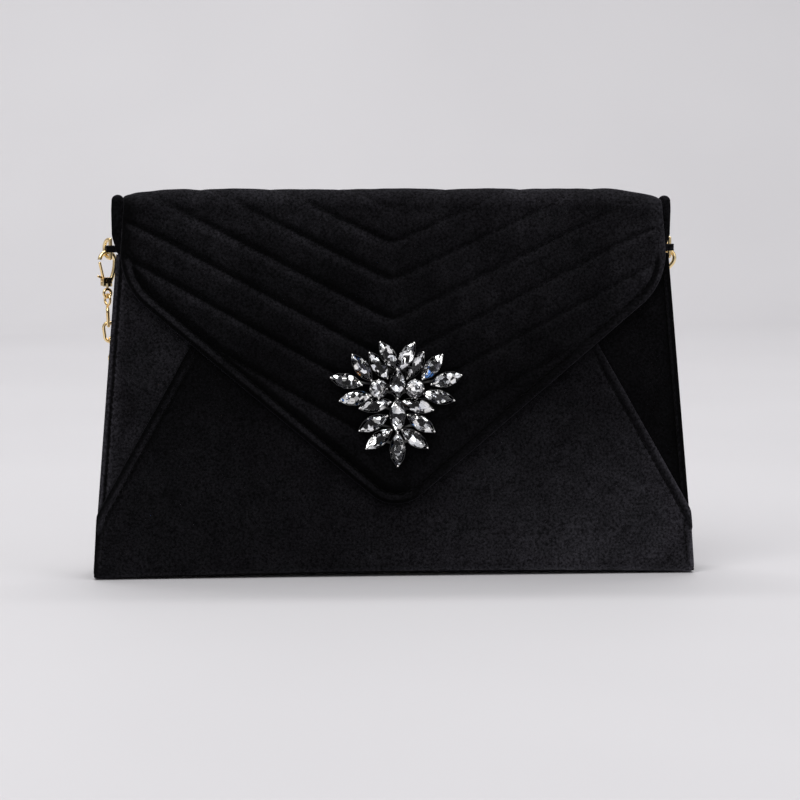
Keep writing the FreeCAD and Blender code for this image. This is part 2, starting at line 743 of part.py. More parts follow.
# The chain leaves each jump ring, falls behind the back panel and runs along the floor to a hank.
# Points are by hand, from the jump ring to the hank; y is from the middle of the base.
CHAIN_LEFT = [
    (-133.5, 12.8, 123.8), (-133.2, 13.8, 113.0), (-130.6, 15.4, 101.0), (-127.4, 17.4, 87.5),
    (-125.4, 19.6, 72.5), (-124.6, 21.8, 56.0), (-122.8, 24.2, 39.0), (-118.4, 27.6, 22.8),
    (-110.5, 31.2, 10.2), (-98.5, 31.9, 4.4), (-84.5, 29.4, 3.5), (-71.0, 25.6, 3.4),
    (-61.0, 24.0, 3.45),
]
CHAIN_RIGHT = [
    (116.6, 13.2, 128.5), (110.0, 14.2, 119.0), (105.0, 15.8, 106.5), (102.0, 17.8, 92.0),
    (100.6, 19.8, 76.0), (99.8, 21.8, 59.0), (98.4, 24.2, 42.0), (94.2, 27.6, 26.0),
    (86.0, 30.6, 12.8), (74.0, 31.4, 5.2), (61.0, 29.6, 4.6), (50.0, 26.6, 9.8),
    (40.0, 24.2, 14.6), (31.0, 23.4, 16.3),
]


def rounded_path(points):
    """Wire of straight runs joined by tangent arcs, and the list of the arcs' radii."""
    edges = []
    radii = []
    here = points[0]
    for before, corner, after in zip(points, points[1:], points[2:]):
        back = (before - corner).normalize()
        ahead = (after - corner).normalize()
        half_turn = (math.pi - back.getAngle(ahead)) / 2
        cut = 0.45 * min((before - corner).Length, (after - corner).Length)
        radii.append(cut / math.tan(half_turn))
        start = corner + back * cut
        end = corner + ahead * cut
        inward = (back + ahead).normalize()
        edges.append(Part.LineSegment(here, start).toShape())
        middle = corner + inward * (cut * math.tan(half_turn) / (1 + 1 / math.cos(half_turn)))
        edges.append(Part.Arc(start, middle, end).toShape())
        here = end
    edges.append(Part.LineSegment(here, points[-1]).toShape())
    return Part.Wire(edges), radii


def stadium(middle, run, radius, height):
    """Upright solid of two half circles joined by straight sides of length run, along x."""
    ends = [Part.makeCylinder(radius, height, middle + Vector(x, 0, 0)) for x in (-run / 2, run / 2)]
    block = Part.makeBox(run, 2 * radius, height, middle - Vector(run / 2, radius, 0))
    return block.multiFuse(ends).removeSplitter()


def build_chain():
    """The strap chain: two tubes and the hank of the length that is put away."""
    radius = mm("chain_width") / 2
    for label, route in (("chain_left", CHAIN_LEFT), ("chain_right", CHAIN_RIGHT)):
        points = [Vector(x, y + mm("frame_shift"), z) for x, y, z in route]
        path, radii = rounded_path(points)
        circle = Part.Wire([Part.makeCircle(radius, points[0], points[1] - points[0])])
        tube = path.makePipeShell([circle], True, True)
        expected = math.pi * radius ** 2 * path.Length
        print(label, "length", round(path.Length, 1), "volume ratio", round(tube.Volume / expected, 4),
              "smallest radius", round(min(radii), 1))
        feature(label, tube)
    run, loop, width = mm("hank_run"), mm("hank_loop"), mm("chain_width")
    middle = Vector(mm("hank_centre_x"), mm("frame_shift") + mm("hank_centre_back"), mm("hank_gap"))
    outer = stadium(middle, run, loop + width / 2, 2 * width)
    inner = stadium(middle, run, loop - width / 2, 2 * width)
    third = Part.makeBox(run, width, width, middle + Vector(-run / 2, -loop - width / 2, 2 * width))
    feature("chain_hank", outer.cut(inner).fuse(third).removeSplitter())


# ------------------------------------------------------------------------------------------ build

build_base()
build_back()
build_front()
build_gussets()
build_fold()
build_flap()
build_brooch()
for ring_side, ring_name in ((-1, "left"), (1, "right")):
    build_tab(ring_side, ring_name)
    build_ring_side(ring_side, ring_name)
build_chain()
doc.recompute()

for item in doc.Objects:
    if "Invalid" in item.State or "Error" in item.State:
        raise RuntimeError(f"{item.Label} failed: {item.State}")
for item in SUBPARTS:
    if item.Shape.isNull() or not item.Shape.isValid():
        raise RuntimeError(f"{item.Label} has no valid shape")

os.makedirs("parts", exist_ok=True)
for item in SUBPARTS:
    item.Shape.exportStep(f"parts/{item.Label}.step")

for ring_side, ring_name in ((-1, "left"), (1, "right")):
    frame = clasp_frame(ring_side)
    pivot = frame.multVec(gate_pivot())
    axis = frame.Rotation.multVec(Vector(1, 0, 0))
    print("gate", ring_name, "pivot", [round(v, 3) for v in pivot], "axis", [round(v, 5) for v in axis])
print("front foot", round(front_y(mm("wall_foot"), mm("velvet")), 3))
print("back fold", round(back_y(mm("fold_height"), 0), 3))
print("flap fold", round(front_y(mm("fold_height"), FLAP_OUTSIDE), 3))
print(len(SUBPARTS), "sub-parts")
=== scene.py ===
"""Looks of the evening bag: velvet, quilting, stitching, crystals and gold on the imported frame.

Lengths are in millimetres in the tables below and become metres at the mesh. The bag stands on the
floor with its front towards -Y. "out" is the height above the front wall's own plane.
"""

import math

import bmesh
import bpy
import numpy as np
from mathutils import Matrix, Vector


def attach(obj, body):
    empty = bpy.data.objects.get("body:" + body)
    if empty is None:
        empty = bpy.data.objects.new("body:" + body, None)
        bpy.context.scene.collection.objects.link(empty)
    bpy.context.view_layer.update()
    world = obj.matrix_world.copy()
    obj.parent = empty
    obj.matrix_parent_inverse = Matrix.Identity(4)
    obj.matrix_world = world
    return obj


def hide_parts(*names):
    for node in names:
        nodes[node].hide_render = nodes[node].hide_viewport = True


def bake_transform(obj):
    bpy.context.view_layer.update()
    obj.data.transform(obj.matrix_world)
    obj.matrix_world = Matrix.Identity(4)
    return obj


MM = 0.001
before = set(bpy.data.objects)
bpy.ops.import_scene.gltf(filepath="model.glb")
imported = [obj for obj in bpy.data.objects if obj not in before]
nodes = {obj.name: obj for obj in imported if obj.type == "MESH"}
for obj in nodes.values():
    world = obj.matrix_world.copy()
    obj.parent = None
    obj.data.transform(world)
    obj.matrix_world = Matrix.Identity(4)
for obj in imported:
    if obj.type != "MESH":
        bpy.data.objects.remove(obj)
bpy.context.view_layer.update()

# ---------------------------------------------------------------- dimensions, in millimetres
LEAN = 0.0629147  # how far each wall leans in per unit of height
SLANT = 1.00198  # length along y of one unit square to a wall
FRONT_FOOT, BACK_FOOT = -13.15, 18.85  # y of the walls' outsides at the floor
CREST = 180.1  # highest point of the fold
FLAP_BASE = 3.9  # "out" of the flap's base surface
WALL_FOOT, WALL_HEAD, HEAD_HEIGHT = 140.9, 128.9, 150.0  # half widths of the walls, low and high
FOLD_HALF = 125.5  # half width of the velvet over the fold
FLAP_SEED = 4  # of the flap's lumps


def front_y(height, out):
    return FRONT_FOOT + LEAN * height - SLANT * out


def back_y(height, inward):
    return BACK_FOOT - LEAN * height - SLANT * inward


def side_x(height):
    """Half width of the front and back walls at a height."""
    return WALL_FOOT - (WALL_FOOT - WALL_HEAD) * height / HEAD_HEIGHT


# ---------------------------------------------------------------- camera, floor and light
def make_camera():
    data = bpy.data.cameras.new("camera")
    data.lens, data.sensor_width = 126.0, 36.0
    camera = bpy.data.objects.new("camera", data)
    bpy.context.scene.collection.objects.link(camera)
    target, distance = Vector((0.0018, -0.012, 0.0825)), 1.3
    rise, turn = math.radians(5.5), math.radians(-4.5)
    ahead = Vector((-math.sin(turn) * math.cos(rise), math.cos(turn) * math.cos(rise), -math.sin(rise)))
    camera.location = target - ahead * distance
    camera.rotation_euler = (math.radians(90.0) - rise, 0, turn)
    bpy.context.scene.camera = camera


def area_light(name, place, aim, size, power, colour=(1, 1, 1)):
    data = bpy.data.lights.new(name, "AREA")
    data.shape, data.size, data.size_y = "RECTANGLE", size[0], size[1]
    data.energy, data.color = power, colour
    light = bpy.data.objects.new(name, data)
    light.location = place
    light.rotation_euler = (Vector(aim) - Vector(place)).to_track_quat("-Z", "Y").to_euler()
    bpy.context.scene.collection.objects.link(light)


def make_lights():
    world = bpy.data.worlds.new("studio")
    world.use_nodes = True
    shade = world.node_tree.nodes["Background"]
    shade.inputs["Color"].default_value = (0.985, 0.975, 1.0, 1)
    shade.inputs["Strength"].default_value = 0.33
    bpy.context.scene.world = world
    area_light("key", (-0.6, -1.05, 1.5), (0, 0, 0.08), (1.4, 1.2), 19.0)
    area_light("fill", (1.4, -0.9, 0.8), (0, 0, 0.08), (1.1, 1.2), 5.5, (0.97, 0.97, 1.0))
    area_light("top", (0.1, 0.15, 1.8), (0, 0.1, 0.1), (1.5, 1.0), 11.0)
    area_light("backdrop", (-0.2, 1.0, 2.6), (-0.1, 2.3, 1.0), (3.0, 0.6), 42.0)
    bpy.context.scene.view_settings.view_transform = "Standard"
    bpy.context.scene.view_settings.look = "None"


# ---------------------------------------------------------------- materials
def new_material(name):
    material = bpy.data.materials.new(name)
    material.use_nodes = True
    tree = material.node_tree
    return material, tree, tree.nodes["Principled BSDF"]


def feed(tree, socket, source):
    """Links a socket to another, or sets it to a constant."""
    if isinstance(source, bpy.types.NodeSocket):
        tree.links.new(source, socket)
    else:
        socket.default_value = source


def add_node(tree, kind, operation=None, **sources):
    """Node with its sockets fed; a name's underscores stand for spaces."""
    node = tree.nodes.new(f"ShaderNode{kind}")
    if operation:
        node.operation = operation
    for key, source in sources.items():
        feed(tree, node.inputs[key.replace("_", " ")], source)
    return node


def own_place(tree):
    """The frame's own coordinates, in metres."""
    return add_node(tree, "TexCoord").outputs["Object"]


def noise(tree, scale, detail=2.0, rough=0.5):
    """Noise in the frame's own coordinates; scale is per metre."""
    node = add_node(tree, "TexNoise", Vector=own_place(tree), Scale=scale, Detail=detail, Roughness=rough)
    return node.outputs["Fac"]


def ramp(tree, source, stops):
    node = add_node(tree, "ValToRGB", Fac=source)
    band = node.color_ramp.elements
    while len(band) < len(stops):
        band.new(0.5)
    for element, (at, colour) in zip(band, stops):
        element.position, element.color = at, (*colour, 1)
    return node.outputs["Color"]


def bump(tree, shader, source, strength, depth, under=None):
    """Bump on the shader, over another one's normal where under is given."""
    below = {} if under is None else {"Normal": under}
    node = add_node(tree, "Bump", Strength=strength, Distance=depth, Height=source, **below)
    tree.links.new(node.outputs["Normal"], shader.inputs["Normal"])
    return node.outputs["Normal"]


def settle(shader, **values):
    """Constants on the shader's own sockets; a name's underscores stand for spaces."""
    for key, value in values.items():
        shader.inputs[key.replace("_", " ")].default_value = value


def grey(value, tint=(1.0, 1.0, 1.0)):
    return tuple(value * t for t in tint)


def math_node(tree, operation, *sources):
    """Value of a sum, product or dot product of sockets and constants."""
    node = add_node(tree, "VectorMath" if operation == "DOT_PRODUCT" else "Math", operation)
    for socket, source in zip(node.inputs, sources):
        feed(tree, socket, source)
    return node.outputs["Value"]


def product(tree, first, *others):
    for other in others:
        first = math_node(tree, "MULTIPLY", first, other)
    return first


def spread_value(tree, source, low, high, to_low, to_high):
    """Value moved from the range low to high into another."""
    node = add_node(tree, "MapRange", Value=source, From_Min=low, From_Max=high,
                    To_Min=to_low, To_Max=to_high)
    return node.outputs["Result"]


SQUARE_FACING_LIGHTNESS = 0.36  # painted lightness of a velvet face that stands square to the side its painted sheen comes from
VELVET_TINT = (0.99, 0.95, 1.12)


def velvet_material(name, level, nap_and_light, across=(1.0, 1.0, 1.0), upward=(1.0, 1.0, 1.0), contrast=1.0,
                    crushed=0.3):
    """Short cotton velvet with painted light in its colour. Faces turned towards the given side are painted
    lighter and the others darker, as strongly as contrast says: painted sheen and painted shade, partly from
    the lean of the fibres and partly from the light on that side. across is a painted lightness at the left
    end, the middle and the right end of the bag, upward the same for low and high on it: painted sheen and
    painted shade by place. crushed is how uneven the fibres are.
    """
    material, tree, shader = new_material(name)
    # painted sheen and painted shade: lighter where a face turns to the given side, darker where it turns
    # away
    lean = math_node(tree, "DOT_PRODUCT", add_node(tree, "NewGeometry").outputs["Normal"], nap_and_light)
    painted_nap_sheen_and_shade = ramp(tree, spread_value(tree, lean, -0.5, 0.5, 0.0, 1.0), [
        (0.0, grey(0.10)), (0.36, grey(0.10 + 0.13 / contrast)), (0.5, grey(SQUARE_FACING_LIGHTNESS)),
        (0.64, grey(SQUARE_FACING_LIGHTNESS + 0.2 * contrast)), (1.0, grey(1.0))])
    # painted lightness across and up the bag: painted sheen and painted shade by place
    parts = add_node(tree, "SeparateXYZ", Vector=own_place(tree))
    most = max(across) * max(upward)
    side, high = (
        ramp(tree, spread_value(tree, parts.outputs[axis], low, top, 0.0, 1.0),
             [(k / 2, grey(value / max(values))) for k, value in enumerate(values)])
        for axis, low, top, values in (("X", -0.13, 0.13, across), ("Z", 0.0, 0.18, upward)))
    patch = spread_value(tree, noise(tree, 19.0, 4.0, 0.62), 0.3, 0.7, 1 - crushed, 1 + 1.3 * crushed)
    streak = spread_value(tree, noise(tree, 110.0, 3.0, 0.6), 0.3, 0.7, 0.8, 1.22)
    grain = spread_value(tree, noise(tree, 900.0, 2.0, 0.65), 0.34, 0.66, 0.35, 1.75)
    shade = product(tree, side, high, most, patch, streak, grain, painted_nap_sheen_and_shade)
    tone = add_node(tree, "VectorMath", "SCALE", Scale=shade)
    tone.inputs[0].default_value = grey(level / SQUARE_FACING_LIGHTNESS, VELVET_TINT)
    tree.links.new(tone.outputs["Vector"], shader.inputs["Base Color"])
    rough = ramp(tree, noise(tree, 60.0), [(0.3, grey(0.78)), (0.7, grey(0.95))])
    tree.links.new(rough, shader.inputs["Roughness"])
    soft = bump(tree, shader, noise(tree, 260.0), 0.3, 0.0005)
    bump(tree, shader, noise(tree, 1700.0, 2.0, 0.6), 0.75, 0.0003, soft)
    settle(shader, Specular_IOR_Level=0.03, Sheen_Weight=0.05, Sheen_Roughness=0.35)
    settle(shader, Sheen_Tint=(0.85, 0.83, 1.0, 1))
    return material


def thread_material():
    material, tree, shader = new_material("thread_black")
    strands = ramp(tree, noise(tree, 3000.0, 1.0), [(0.3, grey(0.0010)), (0.7, grey(0.0025))])
    tree.links.new(strands, shader.inputs["Base Color"])
    bump(tree, shader, noise(tree, 5000.0, 1.0), 0.5, 0.0001)
    settle(shader, Roughness=0.7, Specular_IOR_Level=0.05, Sheen_Weight=0.01)
    return material


def satin_material():
    material, tree, shader = new_material("satin_lining")
    tone = ramp(tree, noise(tree, 30.0, 3.0), [(0.3, grey(0.010)), (0.7, grey(0.022))])
    tree.links.new(tone, shader.inputs["Base Color"])
    weave = add_node(tree, "TexWave", Vector=own_place(tree), Scale=900.0, Distortion=1.5, Detail=1.0)
    folds = bump(tree, shader, noise(tree, 45.0), 0.4, 0.001)
    bump(tree, shader, weave.outputs["Fac"], 0.25, 0.00008, folds)
    settle(shader, Roughness=0.34, Specular_IOR_Level=0.55, Anisotropic=0.4, Sheen_Weight=0.1)
    return material


def metal_material(name, dark, light, roughness):
    """Polished plated metal with faint tarnish and hairline polishing marks."""
    material, tree, shader = new_material(name)
    tone = ramp(tree, noise(tree, 180.0, 3.0), [(0.3, dark), (0.65, light)])
    tree.links.new(tone, shader.inputs["Base Color"])
    worn = ramp(tree, noise(tree, 420.0, 3.0), [(0.35, grey(roughness)), (0.75, grey(roughness * 2.2))])
    tree.links.new(worn, shader.inputs["Roughness"])
    bump(tree, shader, noise(tree, 700.0), 0.15, 0.00012)
    settle(shader, Metallic=1.0)
    return material


def crystal_material():
    material, tree, shader = new_material("crystal_clear")
    tone = ramp(tree, noise(tree, 300.0, 1.0), [(0.3, (0.93, 0.96, 1.0)), (0.7, (1.0, 0.99, 0.96))])
    tree.links.new(tone, shader.inputs["Base Color"])
    settle(shader, Roughness=0.0, IOR=1.54, Transmission_Weight=1.0, Specular_IOR_Level=0.5)
    return material


def glint_foil_material(name, size, tilt, stops):
    """Mirror foil under a stone, seen broken into small flat facets, each with its own tilt and a painted
    tint: painted glints, painted dark reflections and painted coloured fire.
    """
    material, tree, shader = new_material(name)
    facing = add_node(tree, "NewGeometry").outputs["Normal"]
    facets = add_node(tree, "TexVoronoi", Vector=own_place(tree), Scale=1.0 / (size * MM))
    facets.distance = "MANHATTAN"
    parts = add_node(tree, "SeparateColor", Color=facets.outputs["Color"])
    # painted reflections: each facet's colour is a painted dark, grey, white or coloured glint
    tone = ramp(tree, parts.outputs["Red"], stops)
    tone.node.color_ramp.interpolation = "CONSTANT"
    tree.links.new(tone, shader.inputs["Base Color"])
    turned = facets.outputs["Color"]
    steps = (("SUBTRACT", (0.5, 0.5, 0.5)), ("SCALE", tilt), ("ADD", facing), ("NORMALIZE", None))
    for operation, second in steps:
        node = add_node(tree, "VectorMath", operation)
        tree.links.new(turned, node.inputs[0])
        if second is not None:
            feed(tree, node.inputs["Scale" if operation == "SCALE" else 1], second)
        turned = node.outputs["Vector"]
    tree.links.new(turned, shader.inputs["Normal"])
    settle(shader, Metallic=1.0, Roughness=0.06)
    return material


def floor_material():
    material, tree, shader = new_material("pale_floor")
    tone = ramp(tree, noise(tree, 3.0), [(0.3, (0.585, 0.575, 0.59)), (0.7, (0.61, 0.60, 0.615))])
    tree.links.new(tone, shader.inputs["Base Color"])
    settle(shader, Roughness=0.65, Specular_IOR_Level=0.25)
    return material


# Copies of one black velvet, each with its own painted light.
VELVET = velvet_material("velvet_black", 0.0040, (0.3, 0.0, 0.6))
# flap: painted lighter at both ends and most at the top right, a painted sheen, darker in the middle, with
# strong painted shade on the quilting
VELVET_FLAP = velvet_material("velvet_flap", 0.0039, (0.8, 0.0, 0.5), (0.5, 0.38, 0.62), (1.3, 0.95, 1.95),
                              contrast=1.9, crushed=0.45)
# front: painted lighter overall, much lighter low and to the right as a painted sheen, and darker high up as
# a painted shadow under the flap
VELVET_FRONT = velvet_material("velvet_front", 0.0058, (0.7, 0.0, -0.4), (0.6, 0.8, 2.2), (1.5, 0.45, 0.3))
# wings: the left wing's copy is painted light and the right wing's copy painted dark, as a lit and a shaded
# side
VELVET_WING_LIT = velvet_material("velvet_wing_painted_lit", 0.0066, (-1.0, 0.0, 0.2))
VELVET_WING_SHADED = velvet_material("velvet_wing_painted_shaded", 0.0017, (-1.0, 0.0, 0.2))
THREAD, SATIN, CRYSTAL = thread_material(), satin_material(), crystal_material()
GOLD = metal_material("gold_plate", (0.86, 0.60, 0.27), (0.98, 0.80, 0.46), 0.11)
SILVER = metal_material("silver_plate", (0.62, 0.61, 0.60), (0.88, 0.87, 0.86), 0.12)
TARNISHED = metal_material("silver_oxidised", (0.02, 0.02, 0.024), (0.13, 0.128, 0.125), 0.34)
STEEL = metal_material("nickel_steel", (0.45, 0.45, 0.46), (0.66, 0.66, 0.67), 0.2)
# painted glints on the foils: near black and grey facets are painted dark reflections, white ones painted
# highlights, blue and orange ones painted fire
GLINT_FOIL = glint_foil_material("crystal_glint_foil", 2.5, 1.0, [
    (0.0, (0.012, 0.012, 0.016)), (0.16, (0.09, 0.09, 0.105)), (0.24, (0.65, 0.66, 0.68)),
    (0.32, (1.0, 1.0, 1.0)), (0.83, (0.03, 0.03, 0.04)), (0.91, (0.12, 0.32, 0.80)),
    (0.93, (0.85, 0.87, 0.9)), (0.98, (0.95, 0.45, 0.14))])
GLINT_FOIL_ROUND = glint_foil_material("crystal_glint_foil_round", 1.5, 0.6, [
    (0.0, (0.09, 0.09, 0.1)), (0.25, (1.0, 1.0, 1.0)), (0.62, (0.45, 0.45, 0.46)),
    (0.82, (0.95, 0.95, 0.95))])

make_camera()
make_lights()


# ---------------------------------------------------------------- meshes
def add_mesh(name, verts, faces, material, smooth=True):
    """Object from millimetre points."""
    mesh = bpy.data.meshes.new(name)
    mesh.from_pydata([tuple(c * MM for c in v) for v in verts], [], [tuple(f) for f in faces])
    mesh.materials.append(material)
    mesh.polygons.foreach_set("use_smooth", [smooth] * len(mesh.polygons))
    solid = bmesh.new()
    solid.from_mesh(mesh)
    bmesh.ops.recalc_face_normals(solid, faces=solid.faces)
    solid.to_mesh(mesh)
    solid.free()
    piece = bpy.data.objects.new(name, mesh)
    bpy.context.scene.collection.objects.link(piece)
    return piece


def grid_faces(rows, columns, start=0, close=False):
    """Quads of a grid of points; close joins the last column to the first."""
    span = columns if close else columns - 1
    faces = []
    for r in range(rows - 1):
        here = start + r * columns
        for c in range(span):
            n = (c + 1) % columns
            faces.append((here + c, here + n, here + columns + n, here + columns + c))
    return faces


def loop_faces(rows, columns):
    """Quads of a closed ring of closed sections."""
    count = rows * columns
    return [tuple(i % count for i in face) for face in grid_faces(rows + 1, columns, close=True)]


def tube_faces(rows, columns, start=0):
    """Quads of a tube of closed sections, and a face at each end."""
    last = start + (rows - 1) * columns
    ends = [tuple(first + c for c in range(columns)) for first in (start, last)]
    return grid_faces(rows, columns, start, close=True) + ends


def points_at(x, y, z):
    """Grid of points from coordinates that may be single numbers, rows, columns or grids."""
    return np.stack(np.broadcast_arrays(x, y, z), axis=-1)


def slab(name, outer, inner, material):
    """Closed sheet between two grids of points of the same size."""
    rows, columns = outer.shape[:2]
    count = rows * columns
    verts = np.concatenate([outer.reshape(-1, 3), inner.reshape(-1, 3)])
    faces = grid_faces(rows, columns) + grid_faces(rows, columns, count)
    rim = [(0, c) for c in range(columns)] + [(r, columns - 1) for r in range(1, rows)]
    rim += [(rows - 1, c) for c in range(columns - 2, -1, -1)] + [(r, 0) for r in range(rows - 2, 0, -1)]
    ring = [r * columns + c for r, c in rim]
    faces += [(a, b, b + count, a + count) for a, b in zip(ring, ring[1:] + ring[:1])]
    return add_mesh(name, verts, faces, material)


def finish_piece(piece, body, slot, *replaced):
    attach(piece, body)
    if replaced:
        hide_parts(*replaced)
    return piece


def make_floor():
    """Floor that curves up into a backdrop far behind the bag."""
    reach, back, radius, high = 3000.0, 1600.0, 700.0, 3000.0
    turn = np.radians(90.0 * np.arange(1, 17) / 16)
    y = np.concatenate([[-reach, back], back + radius * np.sin(turn), [back + radius]])
    z = np.concatenate([[0.0, 0.0], radius * (1 - np.cos(turn)), [high]])
    verts = points_at(np.array([-reach, reach]), y[:, None], z[:, None]).reshape(-1, 3)
    add_mesh("floor", verts, grid_faces(len(y), 2), floor_material())


make_floor()


def rounded(corners, radii, step=0.6):
    """Open polyline through corners with tangent arcs; radii are those of the inner corners."""
    points = [np.array(corners[0], float)]
    for before, here, after, radius in zip(corners, corners[1:], corners[2:], radii):
        here = np.array(here, float)
        a = np.array(before, float) - here
        b = np.array(after, float) - here
        a, b = a / np.linalg.norm(a), b / np.linalg.norm(b)
        half = math.acos(float(np.clip(a @ b, -1, 1))) / 2
        cut = radius / math.tan(half)
        centre = here + (a + b) / np.linalg.norm(a + b) * radius / math.sin(half)
        first, last = here + a * cut - centre, here + b * cut - centre
        sweep = math.pi - 2 * half
        turns = max(2, math.ceil(sweep * radius / step))
        for k in range(turns + 1):
            t = k / turns
            blend = math.sin((1 - t) * sweep) * first + math.sin(t * sweep) * last
            points.append(centre + blend / math.sin(sweep))
    points.append(np.array(corners[-1], float))
    return np.array(points)


def resample(line, step):
    line = np.asarray(line, float)
    along = np.concatenate([[0], np.cumsum(np.linalg.norm(np.diff(line, axis=0), axis=1))])
    at = np.linspace(0, along[-1], max(2, int(round(along[-1] / step)) + 1))
    return np.stack([np.interp(at, along, line[:, k]) for k in range(line.shape[1])], axis=1)


def distance(points, line):
    """Least distance of each 2-D point from a polyline."""
    best = None
    for a, b in zip(line, line[1:]):
        d = b - a
        t = np.clip(((points - a) @ d) / max(float(d @ d), 1e-9), 0, 1)
        far = np.linalg.norm(points - a - t[..., None] * d, axis=-1)
        best = far if best is None else np.minimum(best, far)
    return best


def smoothstep(t):
    t = np.clip(t, 0, 1)
    return t * t * (3 - 2 * t)


def round_over(t):
    """Rises from 0 at t = 0 to 1 at t = 1 as a quarter circle does."""
    return np.sqrt(np.clip(1 - (1 - np.clip(t, 0, 1)) ** 2, 0, 1))


def ridge(d, at, width):
    """Smooth ridge of height 1 where d is at."""
    return np.exp(-(((d - at) / width) ** 2))


def soft_waves(x, z, seed, size):
    """Gentle uneven sag of a cloth face, about -1 to 1, the same each run."""
    draw = np.random.default_rng(seed)
    total = np.zeros(np.broadcast(x, z).shape)
    for _ in range(7):
        turn, phase = draw.uniform(0, math.tau, 2)
        wave = math.tau / (size * draw.uniform(0.7, 2.2))
        total += np.sin((x * math.cos(turn) + z * math.sin(turn)) * wave + phase)
    return total / 4.0


# ---------------------------------------------------------------- chain strap
LINK_LENGTH, LINK_WIDTH, LINK_WIRE = 10.6, 6.5, 1.55
CHAIN_LEFT = [
    (-133.5, 15.65, 123.8), (-133.2, 16.65, 113.0), (-130.6, 18.25, 101.0), (-127.4, 20.25, 87.5),
    (-125.4, 22.45, 72.5), (-124.6, 24.65, 56.0), (-122.8, 27.05, 39.0), (-118.4, 30.45, 22.8),
    (-110.5, 34.05, 10.2), (-98.5, 34.75, 4.4), (-84.5, 32.25, 3.5), (-71.0, 28.45, 3.4),
    (-61.0, 26.85, 3.4),
]
CHAIN_RIGHT = [
    (116.6, 16.05, 128.5), (110.0, 17.05, 119.0), (105.0, 18.65, 106.5), (102.0, 20.65, 92.0),
    (100.6, 22.65, 76.0), (99.8, 24.65, 59.0), (98.4, 27.05, 42.0), (94.2, 30.45, 26.0),
    (86.0, 33.45, 12.8), (74.0, 34.25, 5.2), (61.0, 32.45, 4.6), (50.0, 29.45, 9.8),
    (40.0, 27.05, 14.6), (31.0, 26.25, 16.3),
]
HANK_CENTRE = (-14.0, 42.5)
HANK_RUN, HANK_LOOP, HANK_TURNS, LAYER = 86.0, 16.25, 2, 6.5


def hank_points():
    """Two turns and a run, each layer on the last, rising where a turn crosses the one before."""
    points, half = [], HANK_RUN / 2
    round_in = HANK_LOOP / math.cos(math.radians(15.0))
    for turn in range(HANK_TURNS + 1):
        low = 3.4 + LAYER * turn
        for k in range(4):
            points.append((HANK_CENTRE[0] - half + 6.0 + k * 21.0, HANK_CENTRE[1] - HANK_LOOP, low))
        if turn == HANK_TURNS:
            points.append((CHAIN_RIGHT[-1][0] - 1.0, CHAIN_RIGHT[-1][1], low))
            break
        for k in range(6):
            a = math.radians(-75.0 + 30.0 * k)
            points.append((HANK_CENTRE[0] + half + round_in * math.cos(a),
                           HANK_CENTRE[1] + round_in * math.sin(a), low))
        for k in range(4):
            points.append((HANK_CENTRE[0] + half - 12.0 - k * 20.0, HANK_CENTRE[1] + HANK_LOOP, low))
        for k in range(6):
            a = math.radians(105.0 + 30.0 * k)
            rise = LAYER * float(smoothstep((k - 0.4) / 3.4))
            points.append((HANK_CENTRE[0] - half + round_in * math.cos(a),
                           HANK_CENTRE[1] + round_in * math.sin(a), low + rise))
    return points


def spline_line(points):
    """Points in millimetres along the smooth line that the route's control points give."""
    data = bpy.data.curves.new("route", "CURVE")
    data.dimensions, data.resolution_u = "3D", 12
    spline = data.splines.new("NURBS")
    spline.points.add(len(points) - 1)
    for point, place in zip(spline.points, points):
        point.co = (*place, 1.0)
    spline.order_u, spline.use_endpoint_u = 3, True
    bare = bpy.data.objects.new("route", data)
    mesh = bpy.data.meshes.new_from_object(bare)
    line = np.array([tuple(v.co) for v in mesh.vertices])
    bpy.data.meshes.remove(mesh)
    bpy.data.objects.remove(bare)
    bpy.data.curves.remove(data)
    return line


def link_shape(around=22, section=8):
    """One oval link, long along x, as rings of points."""
    long, wide = (LINK_LENGTH - LINK_WIRE) / 2, (LINK_WIDTH - LINK_WIRE) / 2
    straight = long - wide
    points, up = [], np.array([0.0, 0.0, 1.0])
    for k in range(around):
        a = math.tau * (k + 0.5) / around
        out = np.array([math.cos(a), math.sin(a), 0.0])
        middle = out * wide + np.array([math.copysign(straight, math.cos(a)), 0.0, 0.0])
        for b in (math.tau * j / section for j in range(section)):
            points.append(middle + LINK_WIRE / 2 * (out * math.cos(b) + up * math.sin(b)))
    return np.array(points), loop_faces(around, section)


def chain(name, line, first_roll):
    """Oval links threaded through each other along a line, each a quarter turn from the last."""
    pitch = LINK_LENGTH - 2 * LINK_WIRE - 0.15
    total = float(np.linalg.norm(np.diff(line, axis=0), axis=1).sum())
    count = int(total / pitch)
    spots = resample(line, total / (4 * count))
    shape, link_faces = link_shape()
    verts, faces = [], []
    across = np.array([0.0, 1.0, 0.0])
    for k in range(count):
        a, middle, b = spots[4 * k + 1], spots[4 * k + 2], spots[4 * k + 3]
        ahead = (b - a) / np.linalg.norm(b - a)
        across = across - ahead * (across @ ahead)
        across /= np.linalg.norm(across)
        up = np.cross(ahead, across)
        if abs(ahead[2]) < 0.5:
            level = np.cross(np.array([0.0, 0.0, 1.0]), ahead)
            level /= np.linalg.norm(level)
            across, up = level, np.cross(ahead, level)
        roll = math.radians(first_roll + 90.0 * (k % 2))
        side = across * math.cos(roll) + up * math.sin(roll)
        flat = np.cross(ahead, side)
        faces += [tuple(i + len(verts) for i in f) for f in link_faces]
        verts += list(middle + shape @ np.array([ahead, side, flat]))
    return add_mesh(name, verts, faces, GOLD), total


